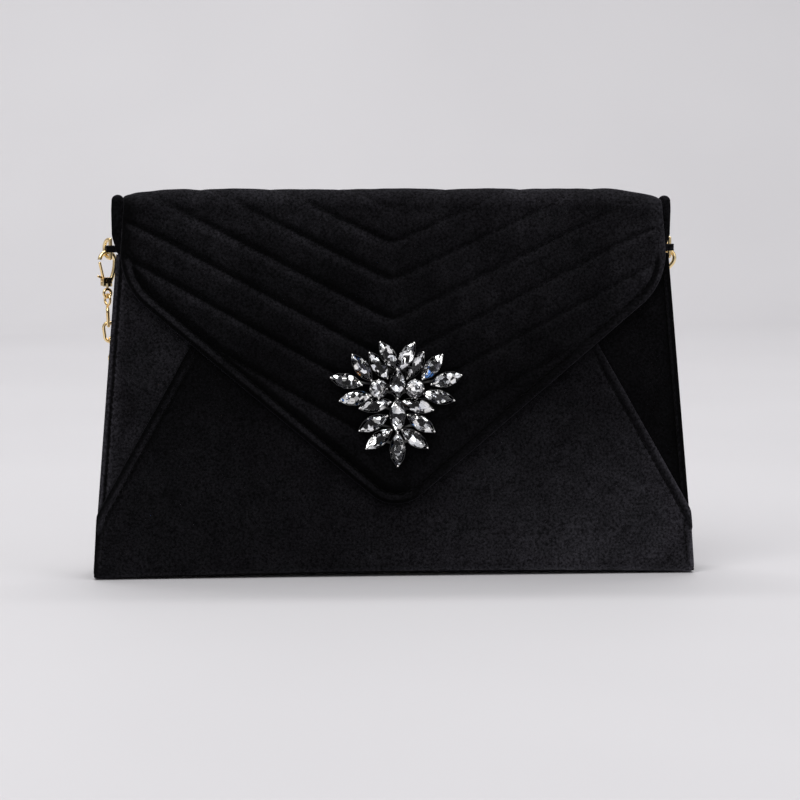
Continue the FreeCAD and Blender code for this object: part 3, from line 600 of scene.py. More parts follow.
def hank_tie():
    """Ribbon tied round the middle of the hank, with its knot and two short ends on top."""
    near, far, gap = HANK_CENTRE[1] - HANK_LOOP, HANK_CENTRE[1] + HANK_LOOP, LINK_WIDTH / 2 + 0.5
    corners = [(near + 8, 0.25), (near - gap, 0.25), (near - gap, 20.2), (near + gap, 20.2),
               (far + gap, 13.9), (far + gap, 0.25), (near + 8, 0.25)]
    loop = resample(rounded(corners, [2.0, 3.0, 3.0, 3.0, 2.0]), 1.5)[:-1]
    centre = loop.mean(axis=0)
    middle, half, thick = HANK_CENTRE[0], 2.9, 0.45
    verts = []
    for y, z in loop:
        out = np.array([y, z]) - centre
        out = out / np.linalg.norm(out) * thick
        for x, push in ((-half, 0), (-half + 0.4, 1), (half - 0.4, 1), (half, 0)):
            verts.append((middle + x, y + out[0] * push, max(0.1, z + out[1] * push)))
        verts += [(middle + half - 0.4, y, max(0.1, z)), (middle - half + 0.4, y, max(0.1, z))]
    faces = loop_faces(len(loop), 6)
    for turn in (-1, 1):
        start = len(verts)
        for k in range(12):
            t = k / 11
            x = middle + turn * (1.0 + 17.0 * t)
            y = near + 1.5 + 3.0 * t * turn
            z = 21.0 + 2.2 * math.sin(math.pi * min(1.0, 1.5 * t)) - 1.0 * t
            wide = 1.0 + 2.0 * min(1.0, 2.5 * t)
            verts += [(x, y - wide, z), (x, y + wide, z), (x, y + wide, z + 0.4), (x, y - wide, z + 0.4)]
        faces += tube_faces(12, 4, start)
    start = len(verts)
    for k in range(9):
        a = math.pi * k / 8
        wide = 3.1 * math.sin(a) + 0.02
        for j in range(12):
            b = math.tau * j / 12
            verts.append((middle - 3.6 * math.cos(a), near + 1.5 + wide * math.cos(b),
                          21.6 + 0.6 * wide * math.sin(b)))
    faces += grid_faces(9, 12, start, close=True)
    tie = add_mesh("hank_tie", verts, faces, SATIN)
    return finish_piece(tie, "root", "lining")


def make_chain():
    left_line = spline_line(CHAIN_LEFT + hank_points())
    right_line = spline_line(CHAIN_RIGHT)
    tie = hank_tie()
    left, left_length = chain("strap_chain_left", left_line, 0.0)
    right, right_length = chain("strap_chain_right", right_line, 90.0)
    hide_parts("chain_left", "chain_hank")
    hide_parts("chain_right")
    exits = [tuple(c * MM for c in route[0]) for route in (CHAIN_LEFT, CHAIN_RIGHT)]
    for piece, body, (x, y, z) in (
            (left, "strap_ring_left", exits[0]), (right, "strap_ring_right", exits[1])):
        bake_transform(piece)


make_chain()


# ---------------------------------------------------------------- quilted flap and fold
FLAP_SIDE = rounded([(0.0, 34.0), (6.7, 34.0), (128.0, 136.5), (125.6, 171.0), (FOLD_HALF, 196.0)],
                    [17.9, 32.0, 60.0])
FLAP_OUTLINE = np.concatenate([FLAP_SIDE[::-1] * [-1, 1], FLAP_SIDE])
# heights of the quilting lines at their points, up the flap and over the fold
QUILT = [-14.0, 59.5, 80.0, 99.8, 119.0, 137.4, 154.5, 170.5, 188.5, 206.8, 225.0, 243.0, 261.0]
QUILT_CENTRE = -2.0
QUILT_LEFT, QUILT_RIGHT = (0.63, 0.00088), (0.61, 0.0010)  # slope of a line at height 0, its loss per unit
PUFF, FOLD_PUFF, ROLL_WIDTH = 1.55, 0.45, 4.4  # height of the wadding, its share on the fold, the rolled edge
ARC_HEIGHT = 171.0
ARC_FRONT, ARC_BACK = front_y(ARC_HEIGHT, FLAP_BASE), back_y(ARC_HEIGHT, 1.0)
ARC_MIDDLE, ARC_HALF = (ARC_FRONT + ARC_BACK) / 2, (ARC_BACK - ARC_FRONT) / 2
ARC_RISE = CREST - PUFF * FOLD_PUFF - ARC_HEIGHT
QUARTER = 11.0  # length of a quarter of the fold's arc
TAIL_FOOT = 164.0  # where the fold's velvet ends on the back panel
FLAP_INSIDE = -1.75  # inside of the velvet sheet, from its base surface


def quilt_slopes(x):
    """Distance from the quilting's centre, and the two numbers of the slope, on each side of it."""
    left = x < QUILT_CENTRE
    slopes = [np.where(left, a, b) for a, b in zip(QUILT_LEFT, QUILT_RIGHT)]
    return np.sqrt((x - QUILT_CENTRE) ** 2 + 4.0), *slopes


def quilt_line(x, vertex):
    """Height at x of the quilting line that has this height at the centre."""
    reach, slope, loss = quilt_slopes(x)
    return vertex + (slope - loss * vertex) * reach


def puff(x, q):
    """Height of the wadding between two quilting lines, 0 on a line and 1 between."""
    reach, slope, loss = quilt_slopes(x)
    place = np.interp((q - slope * reach) / (1 - loss * reach), QUILT, np.arange(len(QUILT)))
    t = place - np.floor(place)
    return 1 - np.clip(2 * np.sqrt((t - 0.5) ** 2 + 0.0004), 0, 1) ** 6.5


def quilted(x, q, d, fade=1.0):
    """Height of the quilted velvet over its base; q runs up the flap and over the fold, d is from the edge.

    The flap has a rolled edge that ends below the fold, where the velvet just rounds off to its ends.
    """
    roll = FLAP_INSIDE + 3.1 * np.sqrt(np.clip(1 - ((d - ROLL_WIDTH / 2) / (ROLL_WIDTH / 2)) ** 2, 0, 1))
    inside = smoothstep((d - ROLL_WIDTH) / 5.0)
    lumps = 0.22 * soft_waves(x, q, FLAP_SEED, 26.0) + 0.12 * soft_waves(x, q, FLAP_SEED + 1, 11.0)
    soft = PUFF * fade * puff(x, q) * (1 - (1 - FOLD_PUFF) * smoothstep((q - 158.0) / 14.0)) + lumps
    field = soft * inside - 0.55 * (1 - smoothstep((d - ROLL_WIDTH) / 2.2))
    front = np.where(d < ROLL_WIDTH * 0.93, roll, np.maximum(field, -1.0))
    over = FLAP_INSIDE + round_over(d / 7.5) * (soft - FLAP_INSIDE)
    high = smoothstep((q - 138.0) / 15.0)
    return front * (1 - high) + over * high


def columns(half, step=1.5):
    """Across a piece from -1 to 1, close together near both edges."""
    edge = [0.0, 0.2, 0.5, 0.9, 1.4, 2.0, 2.6, 3.2, 3.7, 4.1, 4.6, 5.2, 6.0, 7.0, 8.2, 9.6]
    inner = np.linspace(0, half - edge[-1], int((half - edge[-1]) / step))[:-1]
    right = np.concatenate([inner, half - np.array(edge[::-1])])
    return np.concatenate([-right[:0:-1], right]) / half


def wall_grid(widths, rows, spread):
    """x and z of each point: every row is as wide as widths says."""
    return np.broadcast_arrays(np.asarray(widths)[:, None] * spread, rows[:, None])


def droop(x, height):
    """The ends of the fold sink a little, more on the right."""
    near_end = smoothstep((np.abs(x) - 98.0) / 28.0)
    return near_end * np.where(x > 0, 3.4, 1.7) * smoothstep((height - 150.0) / 28.0)


def arc_point(x, angle, height):
    """Point on the fold at an angle from its front foot; height is above the base surface."""
    y = ARC_MIDDLE - (ARC_HALF + height) * np.cos(angle)
    z = ARC_HEIGHT + (ARC_RISE + height) * np.sin(angle)
    return points_at(x, y, z - droop(x, z))


def arc_sheet(steps, spread):
    """Outer and inner points of the velvet over the fold at these angles, and its height there."""
    x, angle = np.broadcast_arrays(FOLD_HALF * spread, steps[:, None])
    fade = 1 - smoothstep((angle - math.radians(110)) / math.radians(70))
    along = ARC_HEIGHT + QUARTER * angle / (math.pi / 2)
    height = quilted(x, along, FOLD_HALF - np.abs(x), fade)
    return arc_point(x, angle, height), arc_point(x, angle, FLAP_INSIDE), height


def make_flap():
    """The flap with the front half of the fold."""
    spread = columns(126.0)
    low = np.array([34.0, 34.04, 34.15, 34.35, 34.6, 35.0, 35.5, 36.1, 36.8, 37.6, 38.5, 39.4, 40.4])
    rows = np.concatenate([low, np.linspace(41.4, ARC_HEIGHT, 118)])
    widths = np.interp(rows, FLAP_SIDE[:, 1], FLAP_SIDE[:, 0])
    widths[0] = 4.0
    x, z = wall_grid(widths, rows, spread)
    height = quilted(x, z, distance(np.stack([x, z], axis=-1), FLAP_OUTLINE))
    sunk = z - droop(x, z)
    over, under, _ = arc_sheet(np.radians(np.linspace(0, 90, 13)[1:]), spread)
    outer = np.concatenate([points_at(x, front_y(z, FLAP_BASE + height), sunk), over])
    inner = np.concatenate([points_at(x, front_y(z, FLAP_BASE + FLAP_INSIDE), sunk), under])
    flap = slab("flap_quilted", outer, inner, VELVET_FLAP)
    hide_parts("flap_cover", "flap_edge_band", "flap_board")
    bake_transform(flap)


def make_fold():
    """The back half of the fold, with a tail that lies on the back panel."""
    spread = columns(126.0)
    over, under, height = arc_sheet(np.radians(np.linspace(90, 180, 13)), spread)
    x, z = wall_grid([FOLD_HALF] * 6, np.linspace(ARC_HEIGHT, TAIL_FOOT, 7)[1:], spread)
    d = np.minimum(FOLD_HALF - np.abs(x), z - TAIL_FOOT + 1.0)
    tail = np.minimum(height[-1][None, :], 0.6 * smoothstep(d / 2.0))
    outer = np.concatenate([over, points_at(x, back_y(z, 1.0 - tail), z)])
    inner = np.concatenate([under, points_at(x, back_y(z, 2.1), z)])
    rear = slab("fold_rear", outer, inner, VELVET_FLAP)
    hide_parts("fold_cover", "fold_board")
    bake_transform(rear)


make_flap()
make_fold()


# ---------------------------------------------------------------- walls, base and gussets
DIAGONAL = [(138.9, 30.0), (83.7, 128.0)]  # upper side edge of the front panel, right half
PANEL_FOOT, PANEL_TOP = 1.3, DIAGONAL[1][1]
CORNER_RADIUS = 2.6
BOTTOM_RISE = 1.6
SNAP_HEIGHT, SNAP_RADIUS = 53.0, 8.3  # of the round that leaves the snap's lower half free
WING_FOOT, WALL_TOP, BACK_TOP = 9.0, 150.0, 168.0


def bottom(x):
    """The middle of the base stands a little clear of the floor."""
    return 0.15 + BOTTOM_RISE * (1 - np.clip(np.abs(x) / 137.0, 0, 1) ** 2.4)


def lift_bottom(x, z, foot=PANEL_FOOT):
    """Bends the lowest centimetres of a wall up to the raised bottom line."""
    low = 1 - smoothstep((z - foot) / 40.0)
    return z + low * (bottom(x) + 0.5 - foot)


def edge_rows(low, high, step, fine=(0.0, 0.15, 0.45, 0.9, 1.5, 2.3, 3.2, 4.2, 5.4)):
    fine = np.array(fine)
    count = max(2, int((high - low - 2 * fine[-1]) / step))
    between = np.linspace(low + fine[-1], high - fine[-1], count)[1:-1]
    return np.concatenate([low + fine, between, high - fine[::-1]])


def wall_sheet(name, x, z, place, outside, inside, material):
    """Sheet that lies on a wall; place gives y for a height and a distance from the wall's plane."""
    return slab(name, points_at(x, place(z, outside), z), points_at(x, place(z, inside), z), material)


def make_front_panel():
    side = rounded([(0.0, PANEL_FOOT), (140.7, PANEL_FOOT), *DIAGONAL, (0.0, PANEL_TOP)],
                   [CORNER_RADIUS, 6.0, 2.0])
    line = side[(side[:, 0] > 1.0) & (side[:, 1] < PANEL_TOP - 0.01)]
    rows = edge_rows(PANEL_FOOT, 127.9, 1.5)
    x, z = wall_grid(np.interp(rows, line[:, 1], line[:, 0]), rows, columns(130.0, 2.0))
    flat = np.stack([x, z], axis=-1)
    d = distance(flat, np.concatenate([side[::-1] * [-1, 1], side]))
    slanted = np.array([(141.0, 24.0), *DIAGONAL])
    to_band = np.minimum(distance(flat, slanted), distance(flat, slanted * [-1, 1]))
    shown = 1 - smoothstep((z - 92.0) / 14.0)
    band = 0.5 + (0.5 + 1.35 * shown) * np.sqrt(np.clip(1 - ((to_band - 1.9) / 1.95) ** 2, 0, 1))
    groove = -0.45 * ridge(to_band, 4.3, 0.7) * shown
    hem = 0.55 * ridge(d, 2.2, 1.5) * (z < 24)
    sag = 0.28 * soft_waves(x, z, 11, 60.0) + 0.13 * soft_waves(x, z, 12, 17.0)
    sag += 0.5 * ridge(z, 26.0, 9.0) * ridge(np.abs(x), 128.0, 9.0)
    face = 1.05 + groove + hem + np.clip(sag, -0.5, 0.42) * smoothstep(d / 12.0)
    face -= (face - 0.6) * (1 - smoothstep((np.hypot(x, z - SNAP_HEIGHT) - SNAP_RADIUS) / 1.6))
    edge = 0.1 + 0.95 * round_over(d / 1.1)
    out = np.where(to_band < 3.8, np.maximum(band, 0.4), np.minimum(face, edge + face - 1.05))
    panel = wall_sheet("front_panel_velvet", x, lift_bottom(x, z), front_y, out, 0.05, VELVET_FRONT)
    finish_piece(panel, "front", "velvet", "front_panel", "front_wadding", "front_board")


def wing_edges(z):
    """Inner and outer x of a wing, right half."""
    (corner, low), (top, high) = DIAGONAL
    inner = np.minimum(corner + (z - low) * (top - corner) / (high - low), corner) - 14.0
    return inner, side_x(z)


def make_wings():
    for name, sign, seed, material in (
            ("left", -1, 21, VELVET_WING_LIT), ("right", 1, 31, VELVET_WING_SHADED)):
        rows = edge_rows(WING_FOOT, WALL_TOP, 2.0)
        inner_x, outer_x = wing_edges(rows)
        share = np.concatenate([np.linspace(0, 0.75, 26), np.linspace(0.76, 1, 26) ** 0.8])
        x = inner_x[:, None] + (outer_x - inner_x)[:, None] * share[None, :]
        z = rows[:, None] + 0 * x
        d = outer_x[:, None] - x
        turn = 1.7 * (1 - np.clip(d / 8.5, 0, 1)) ** 2.2
        seam = 0.45 * ridge(d, 1.6, 1.0) - 0.35 * ridge(d, 3.2, 0.6)
        waves = 0.32 * soft_waves(x, z, seed, 42.0) + 0.14 * soft_waves(x, z, seed + 1, 14.0)
        inside = smoothstep((x - inner_x[:, None] - 12.0) / 8.0)
        out = -0.12 - turn + seam + (waves - 0.25) * inside * smoothstep(d / 9.0)
        wing = wall_sheet(f"wing_{name}_velvet", sign * x, lift_bottom(x, z, WING_FOOT - 8.0), front_y,
                          np.minimum(out, -0.05), -2.6 - turn * 0.4, material)
        finish_piece(wing, "front", "velvet", f"wing_{name}")


def make_back():
    rows = edge_rows(PANEL_FOOT, BACK_TOP, 2.0)
    knots = np.array([(PANEL_FOOT, 139.2), (3.0, 139.7), (150.0, 128.2), (158.0, 131.0), (BACK_TOP, 131.0)])
    widths = np.interp(rows, knots[:, 0], knots[:, 1])
    x, z = wall_grid(widths, rows, columns(130.0, 2.4))
    d = np.minimum(widths[:, None] - np.abs(x), np.minimum(z - PANEL_FOOT, BACK_TOP - z))
    sag = 0.35 * soft_waves(x, z, 41, 70.0) + 0.15 * soft_waves(x, z, 42, 18.0)
    hem = 0.4 * ridge(d, 1.8, 1.2) - 0.4 * ridge(d, 4.2, 0.6)
    inward = 0.25 - hem - sag * smoothstep(d / 14.0) + 0.95 * (1 - round_over(d / 1.2))
    back = wall_sheet("back_panel_velvet", x, lift_bottom(x, z), back_y, inward, 2.2, VELVET)
    finish_piece(back, "root", "velvet", "back_panel", "back_board")


def make_ears():
    """The two ends of the back panel that stand beside the fold, with rounded tops."""
    turns = math.tau * np.arange(20) / 20
    for name, sign, top in (("left", -1, 177.4), ("right", 1, 176.6)):
        z = edge_rows(WALL_TOP, top, 1.5, (0.0, 0.1, 0.35, 0.8, 1.4, 2.2))
        outside = np.interp(z, [WALL_TOP, 158.0, 170.0, top], [128.6, 131.1, 131.3, 130.9])
        inside = 125.3
        crown = round_over((top - z) / 2.4)[:, None]
        middle = (outside + inside)[:, None] / 2
        half = (outside - inside)[:, None] / 2 * np.maximum(crown, 0.08)
        across, deep = (np.sign(v) * np.sqrt(np.abs(v)) for v in (np.cos(turns), np.sin(turns)))
        y = back_y(z[:, None], 1.1) + 1.35 * np.maximum(crown, 0.1) * deep
        verts = points_at(sign * (middle + across * half), y, z[:, None]).reshape(-1, 3)
        ear = add_mesh(f"ear_{name}", verts, tube_faces(len(z), len(turns)), VELVET)
        finish_piece(ear, "root", "velvet")


def make_base():
    deep, spread = np.linspace(-1, 1, 15)[:, None], columns(140.0, 3.0)[None, :]
    x, y = 140.3 * spread, 2.35 + 16.2 * deep
    round_off = 0.8 * np.abs(deep) ** 8 + 0.6 * np.abs(spread) ** 60
    low = bottom(x) * (1 - 0.12 * np.abs(deep)) + round_off - 0.1
    under, over = points_at(x, y, np.maximum(low, 0.02)), points_at(x, y, low + 2.3 - round_off)
    base = slab("base_velvet", under, over, VELVET)
    finish_piece(base, "root", "velvet", "base_cover", "base_board")


def make_gussets():
    for name, sign in (("left", -1), ("right", 1)):
        z, t = np.linspace(3.2, 146.0, 60)[:, None], np.linspace(-1, 1, 23)[None, :]
        front, back = front_y(z, -2.3), back_y(z, 1.9)
        deep = 14.5 * smoothstep((z + 8.0) / 30.0)
        x = side_x(z) - 2.2 - deep * (1 - np.abs(t) ** 1.15 * (1 - 0.04 * np.cos(9 * t)))
        x -= 0.25 * np.sin(z / 9.0 + 3 * t)
        y = (front + back) / 2 + (back - front) / 2 * t
        outer, inner = (points_at(sign * (x - depth), y, z) for depth in (0.0, 0.9))
        gusset = slab(f"gusset_{name}_velvet", outer, inner, VELVET)
        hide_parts(f"gusset_{name}")
        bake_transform(gusset)


def make_lining():
    """Satin inside: front, back with its slip pocket, floor, and under the flap."""
    spread = np.linspace(-1, 1, 61)
    for part, body, low, high, half_width, place, seed in (
        ("lining_front", "front", 3.2, 148.0, lambda z: side_x(z) - 6.0,
         lambda z, h: front_y(z, -2.62 - h), 51),
        ("lining_back", "root", 3.2, 166.0, lambda z: side_x(z) - 4.5, lambda z, h: back_y(z, 2.25 + h), 53),
        ("slip_pocket", "root", 24.0, 104.0, lambda z: 62.0 + 0 * z, lambda z, h: back_y(z, 2.95 + h), 55),
    ):
        rows = np.linspace(low, high, 50)
        x, z = wall_grid(half_width(rows), rows, spread)
        ripple = 0.22 * soft_waves(x, z, seed, 24.0) + 0.1 * soft_waves(x, z, seed + 1, 8.0)
        thick = 0.5 + ripple - 0.25 * ridge(z, high - 6.0, 0.6)
        finish_piece(wall_sheet(f"{part}_satin", x, z, place, thick, 0.0, SATIN), body, "lining", part)
    deep = np.linspace(-1, 1, 9)[:, None]
    x, y = np.broadcast_arrays(132.0 * spread[None, :], 2.8 + 12.4 * deep)
    z = 3.5 + 0.15 * soft_waves(x, y * 4, 57, 30.0) + 0.6 * np.abs(deep) ** 6
    floor = slab("lining_base_satin", points_at(x, y, z), points_at(x, y, 2.6), SATIN)
    finish_piece(floor, "root", "lining", "lining_base")

    rows = np.concatenate([[41.0, 41.6, 42.4, 43.4], np.linspace(45.0, 169.5, 50)])
    widths = np.maximum(np.interp(rows - 6.8, FLAP_SIDE[:, 1], FLAP_SIDE[:, 0]) - 2.0, 1.0)
    x, z = wall_grid(widths, rows, np.linspace(-1, 1, 71))
    ripple = 0.12 * soft_waves(x, z, 59, 26.0)
    d = np.minimum(widths[:, None] - np.abs(x), (z - 41.0))
    low = FLAP_BASE + FLAP_INSIDE - 0.42 * smoothstep(d / 1.5) + ripple * 0.6 * smoothstep(d / 5.0)
    high = FLAP_BASE + FLAP_INSIDE + 0.15
    under, over = (points_at(x, front_y(z, out), z - droop(x, z)) for out in (low, high))
    finish_piece(slab("flap_lining_satin", under, over, SATIN), "flap", "lining", "flap_lining")


make_front_panel()
make_wings()
make_back()
make_ears()
make_base()
make_gussets()
make_lining()


# ---------------------------------------------------------------- stitching
# share of the length, lift and share of the thickness, from end to end of a stitch
STITCH = [(0.0, -0.25, 0.3), (0.16, 0.06, 0.9), (0.5, 0.2, 1.0), (0.84, 0.06, 0.9), (1.0, -0.25, 0.3)]


def capsule(a, b, out, wide, verts, faces):
    """One stitch from a to b: a thread that rises in the middle and dips at both ends."""
    ahead, out = b - a, np.array(out)
    side = np.cross(ahead, out)
    side /= max(np.linalg.norm(side), 1e-9)
    faces += tube_faces(len(STITCH), 6, len(verts))
    for t, lift, scale in STITCH:
        centre = a + ahead * t + out * lift
        for j in range(6):
            turn = math.tau * j / 6
            verts.append(centre + wide * scale * (side * math.cos(turn) + out * math.sin(turn)))


def stitches(name, lines, out=(0.0, -1.0, 0.0), length=2.5, gap=1.1, wide=0.23):
    """Row of stitches along each line of 3-D points."""
    verts, faces = [], []
    for line in lines:
        if len(line) < 2:
            continue
        fine = resample(line, 0.5)
        each, step = max(1, round(length / 0.5)), max(2, round((length + gap) / 0.5))
        for k in range(0, len(fine) - each, step):
            capsule(fine[k], fine[k + each], out, wide, verts, faces)
    return add_mesh(name, verts, faces, THREAD)


def flap_spot(x, q):
    """Point on the quilted surface, on the flap or on the front half of the fold."""
    d = distance(np.stack([x, q], axis=-1), FLAP_OUTLINE)
    height = quilted(x, q, d)
    z = np.minimum(q, ARC_HEIGHT)
    flat = points_at(x, front_y(z, FLAP_BASE + height), z - droop(x, z))
    angle = np.clip((q - ARC_HEIGHT) / QUARTER, 0, 1) * math.pi / 2
    return np.where((q > ARC_HEIGHT)[:, None], arc_point(x, angle, height), flat), d


def make_flap_stitches():
    lines = []
    for vertex in QUILT[1:9]:
        for side in (-1, 1):
            x = QUILT_CENTRE + side * np.linspace(0.8, 126.0, 260)
            q = quilt_line(x, vertex)
            points, d = flap_spot(x, q)
            half = np.interp(q, FLAP_SIDE[:, 1], FLAP_SIDE[:, 0])
            keep = (np.abs(x) < half - 1.0) & (d > ROLL_WIDTH + 1.4) & (q < ARC_HEIGHT + QUARTER - 1.0)
            lines.append(points[keep])
    piece = stitches("flap_quilt_stitches", lines)
    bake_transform(piece)
    along = np.gradient(FLAP_SIDE, axis=0)
    normal = np.stack([-along[:, 1], along[:, 0]], axis=1)
    normal /= np.maximum(np.linalg.norm(normal, axis=1), 1e-9)[:, None]
    inset = resample(FLAP_SIDE + normal * (ROLL_WIDTH + 0.5), 1.0)
    inset = inset[(inset[:, 0] > 0) & (inset[:, 1] < 136.0)]
    edge = [flap_spot(side * inset[:, 0], inset[:, 1])[0] + np.array([0, -0.1, 0]) for side in (-1, 1)]
    finish_piece(stitches("flap_edge_stitches", edge, length=2.8), "flap", "velvet")


def make_wall_stitches():
    corner = np.array(DIAGONAL[0])
    slope = (np.array(DIAGONAL[1]) - corner) / np.linalg.norm(np.array(DIAGONAL[1]) - corner)
    row = corner + slope * np.arange(0.0, 92.0, 1.0)[:, None] + np.array([-slope[1], slope[0]]) * 4.3
    wing_out = -0.12 - 1.7 * (1 - 3.2 / 8.5) ** 2.2
    lines, sides, wings, back = [], [], [], []
    for sign in (-1, 1):
        lines.append(points_at(sign * row[:, 0], front_y(row[:, 1], 0.78), row[:, 1]))
        z = np.arange(7.0, 26.0, 1.0)
        sides.append(points_at(sign * (side_x(z) - 3.4), front_y(z, 1.5), z))
        z = np.arange(36.0, 146.0, 1.0)
        wings.append(points_at(sign * (side_x(z) - 3.2), front_y(z, wing_out), z))
        z = np.arange(6.0, 148.0, 1.0)
        back.append(points_at(sign * (side_x(z) - 4.2), back_y(z, 0.6), z))
    back.append(points_at(np.arange(-134.0, 134.5, 1.0), back_y(6.0, 0.6), 6.2))
    back.append(points_at(np.arange(-124.0, 124.5, 1.0), back_y(163.6, 0.6), 163.6))
    finish_piece(stitches("front_panel_stitches", lines + sides), "front", "velvet")
    finish_piece(stitches("wing_stitches", wings, wide=0.2), "front", "velvet")
    finish_piece(stitches("back_panel_stitches", back, out=(0.0, 1.0, 0.0)), "root", "velvet")


make_flap_stitches()
make_wall_stitches()


# ---------------------------------------------------------------- velvet loops that hold the rings
TAB_HEIGHT = 152.0


def make_tabs():
    """Each loop runs out from the bag, round the ring's upright bar and back."""
    bar = (131.9, 12.85)
    path = [(121.0, 10.35), (126.0, 10.35), (129.3, 10.5)]
    path += [(bar[0] + 1.75 * math.cos(a), bar[1] + 1.75 * math.sin(a))
             for a in np.radians(np.linspace(-115, 195, 22))]
    path += [(129.2, 11.45), (126.0, 11.3), (121.0, 11.25)]
    line = resample(path, 0.35)
    ahead = np.gradient(line, axis=0)
    ahead /= np.linalg.norm(ahead, axis=1)[:, None]
    out = np.stack([ahead[:, 1], -ahead[:, 0]], axis=1)
    section = [(-1.6, 0.0), (-1.5, 0.38), (-1.1, 0.46), (-0.8, 0.34), (0, 0.42), (0.8, 0.34), (1.1, 0.46),
               (1.5, 0.38), (1.6, 0.0), (1.5, -0.34), (0, -0.36), (-1.5, -0.34)]
    for name, sign in (("left", -1), ("right", 1)):
        verts = []
        for (x, y), n in zip(line, out):
            verts += [(sign * (x + n[0] * h), y + n[1] * h, TAB_HEIGHT + v) for v, h in section]
        tab = add_mesh(f"strap_tab_{name}_velvet", verts, tube_faces(len(line), len(section)), VELVET)
        finish_piece(tab, "root", "velvet", f"strap_tab_{name}")
        rows = [points_at(sign * np.arange(122.0, 128.6, 0.5), 11.75, TAB_HEIGHT + v) for v in (-0.8, 0.8)]
        rows.append(points_at(sign * 122.0, 11.75, np.arange(TAB_HEIGHT - 0.8, TAB_HEIGHT + 1.0, 0.5)))
        finish_piece(stitches(f"strap_tab_{name}_stitches", rows, out=(0.0, 1.0, 0.0), length=1.5, gap=0.7,
                              wide=0.18), "root", "velvet")


make_tabs()


# ---------------------------------------------------------------- crystal brooch
BROOCH_HEIGHT = 81.0
PAIRED_STONES = [
    (4.1, 22.3, 29.5, 0.9), (8.6, 18.0, 34.0, -0.7), (16.6, 16.9, 36.0, 0.4), (23.1, 11.2, 74.0, 0.2),
    (19.5, 3.1, 101.0, -0.2), (9.9, -0.5, 104.0, -0.5), (10.9, -8.9, 121.0, 0.0), (8.5, -16.3, 125.0, -0.1),
]  # across, up, lean from upright, height over the others
COLUMN_STONES = [(9.4, 6.7, 1.2), (-5.1, 7.8, 0.6), (-21.0, 7.6, 0.3)]  # up, half length, height
ROUND_STONES = [(8.4, 7.2)]
GIRDLE_OUT, CROWN, PAVILION = 8.6, 2.0, 1.9  # "out" of a stone's widest part, its height above and below that
KITE, TABLE = CROWN * 0.62, 0.5  # height of the kite facets' points, and width of the flat top
SPINE = 0.2  # how far right of the middle the brooch's own middle sits


def on_front(points):
    return [(x, front_y(BROOCH_HEIGHT + up, out), BROOCH_HEIGHT + up) for x, up, out in points]


def pointed_ring(half_long, half_wide, count=7):
    """Outline of a pointed oval, tip to tip and back, long along up."""
    ts = np.cos(np.linspace(0, math.pi, count))
    right = [(half_wide * (1 - t * t) ** 0.85, half_long * t) for t in ts]
    return right + [(-x, y) for x, y in right[-2:0:-1]]


def round_ring(radius, count=12):
    turns = (math.tau * k / count for k in range(count))
    return [(radius * math.sin(turn), radius * math.cos(turn)) for turn in turns]


def placed(points, place):
    """Moves local points (across, up, height) to a stone's place, turned by its lean and tipped a little."""
    across, up, lean, lift, tip_x, tip_y = place
    turn = math.radians(lean)
    moved = []
    for a, b, h in points:
        h = h + math.tan(math.radians(tip_x)) * a + math.tan(math.radians(tip_y)) * b
        moved.append((across + a * math.cos(turn) + b * math.sin(turn),
                      up + b * math.cos(turn) - a * math.sin(turn), GIRDLE_OUT + lift + h))
    return on_front(moved)


def cut_stone(ring, place, glass, foil):
    """Faceted stone: girdle, star and kite facets and a table above, a pavilion below, and foil within."""
    count = len(ring)
    half = [((a + c) / 2, (b + d) / 2) for (a, b), (c, d) in zip(ring, ring[1:] + ring[:1])]

    def layer(outline, across, along, height):
        return [(a * across, b * along, height) for a, b in outline]

    stone = [*layer(ring, 1, 1, 0.22), *layer(half, 0.80, 0.84, KITE),
             *layer(ring, TABLE, TABLE + 0.06, CROWN),
             *layer(ring, 1, 1, -0.12), *layer(half, 0.5, 0.55, -PAVILION * 0.62)]
    shell = [*layer(ring, 0.95, 0.97, 0.02), *layer(half, 0.76, 0.80, KITE - 0.35),
             *layer(ring, TABLE * 0.9, TABLE + 0.02, CROWN - 0.4)]
    sides = [(k, (k + 1) % count) for k in range(count)]
    crown = [face for k, n in sides for face in (
        (k, n, count + k), (n, count + n, count + k),
        (count + k, count + n, 2 * count + n), (2 * count + k, count + k, 2 * count + n))]
    crown.append(tuple(2 * count + k for k in range(count)))
    low, deep = 3 * count, 4 * count
    under = [(k, low + k, low + n, n) for k, n in sides]
    under += [face for k, n in sides for face in (
        (low + k, deep + k, low + n), (deep + k, deep + n, low + n))]
    under.append(tuple(deep + k for k in range(count - 1, -1, -1)))
    for (verts, faces), points, shape in ((glass, stone, crown + under), (foil, shell, crown)):
        faces += [tuple(len(verts) + i for i in face) for face in shape]
        verts += placed(points, place)


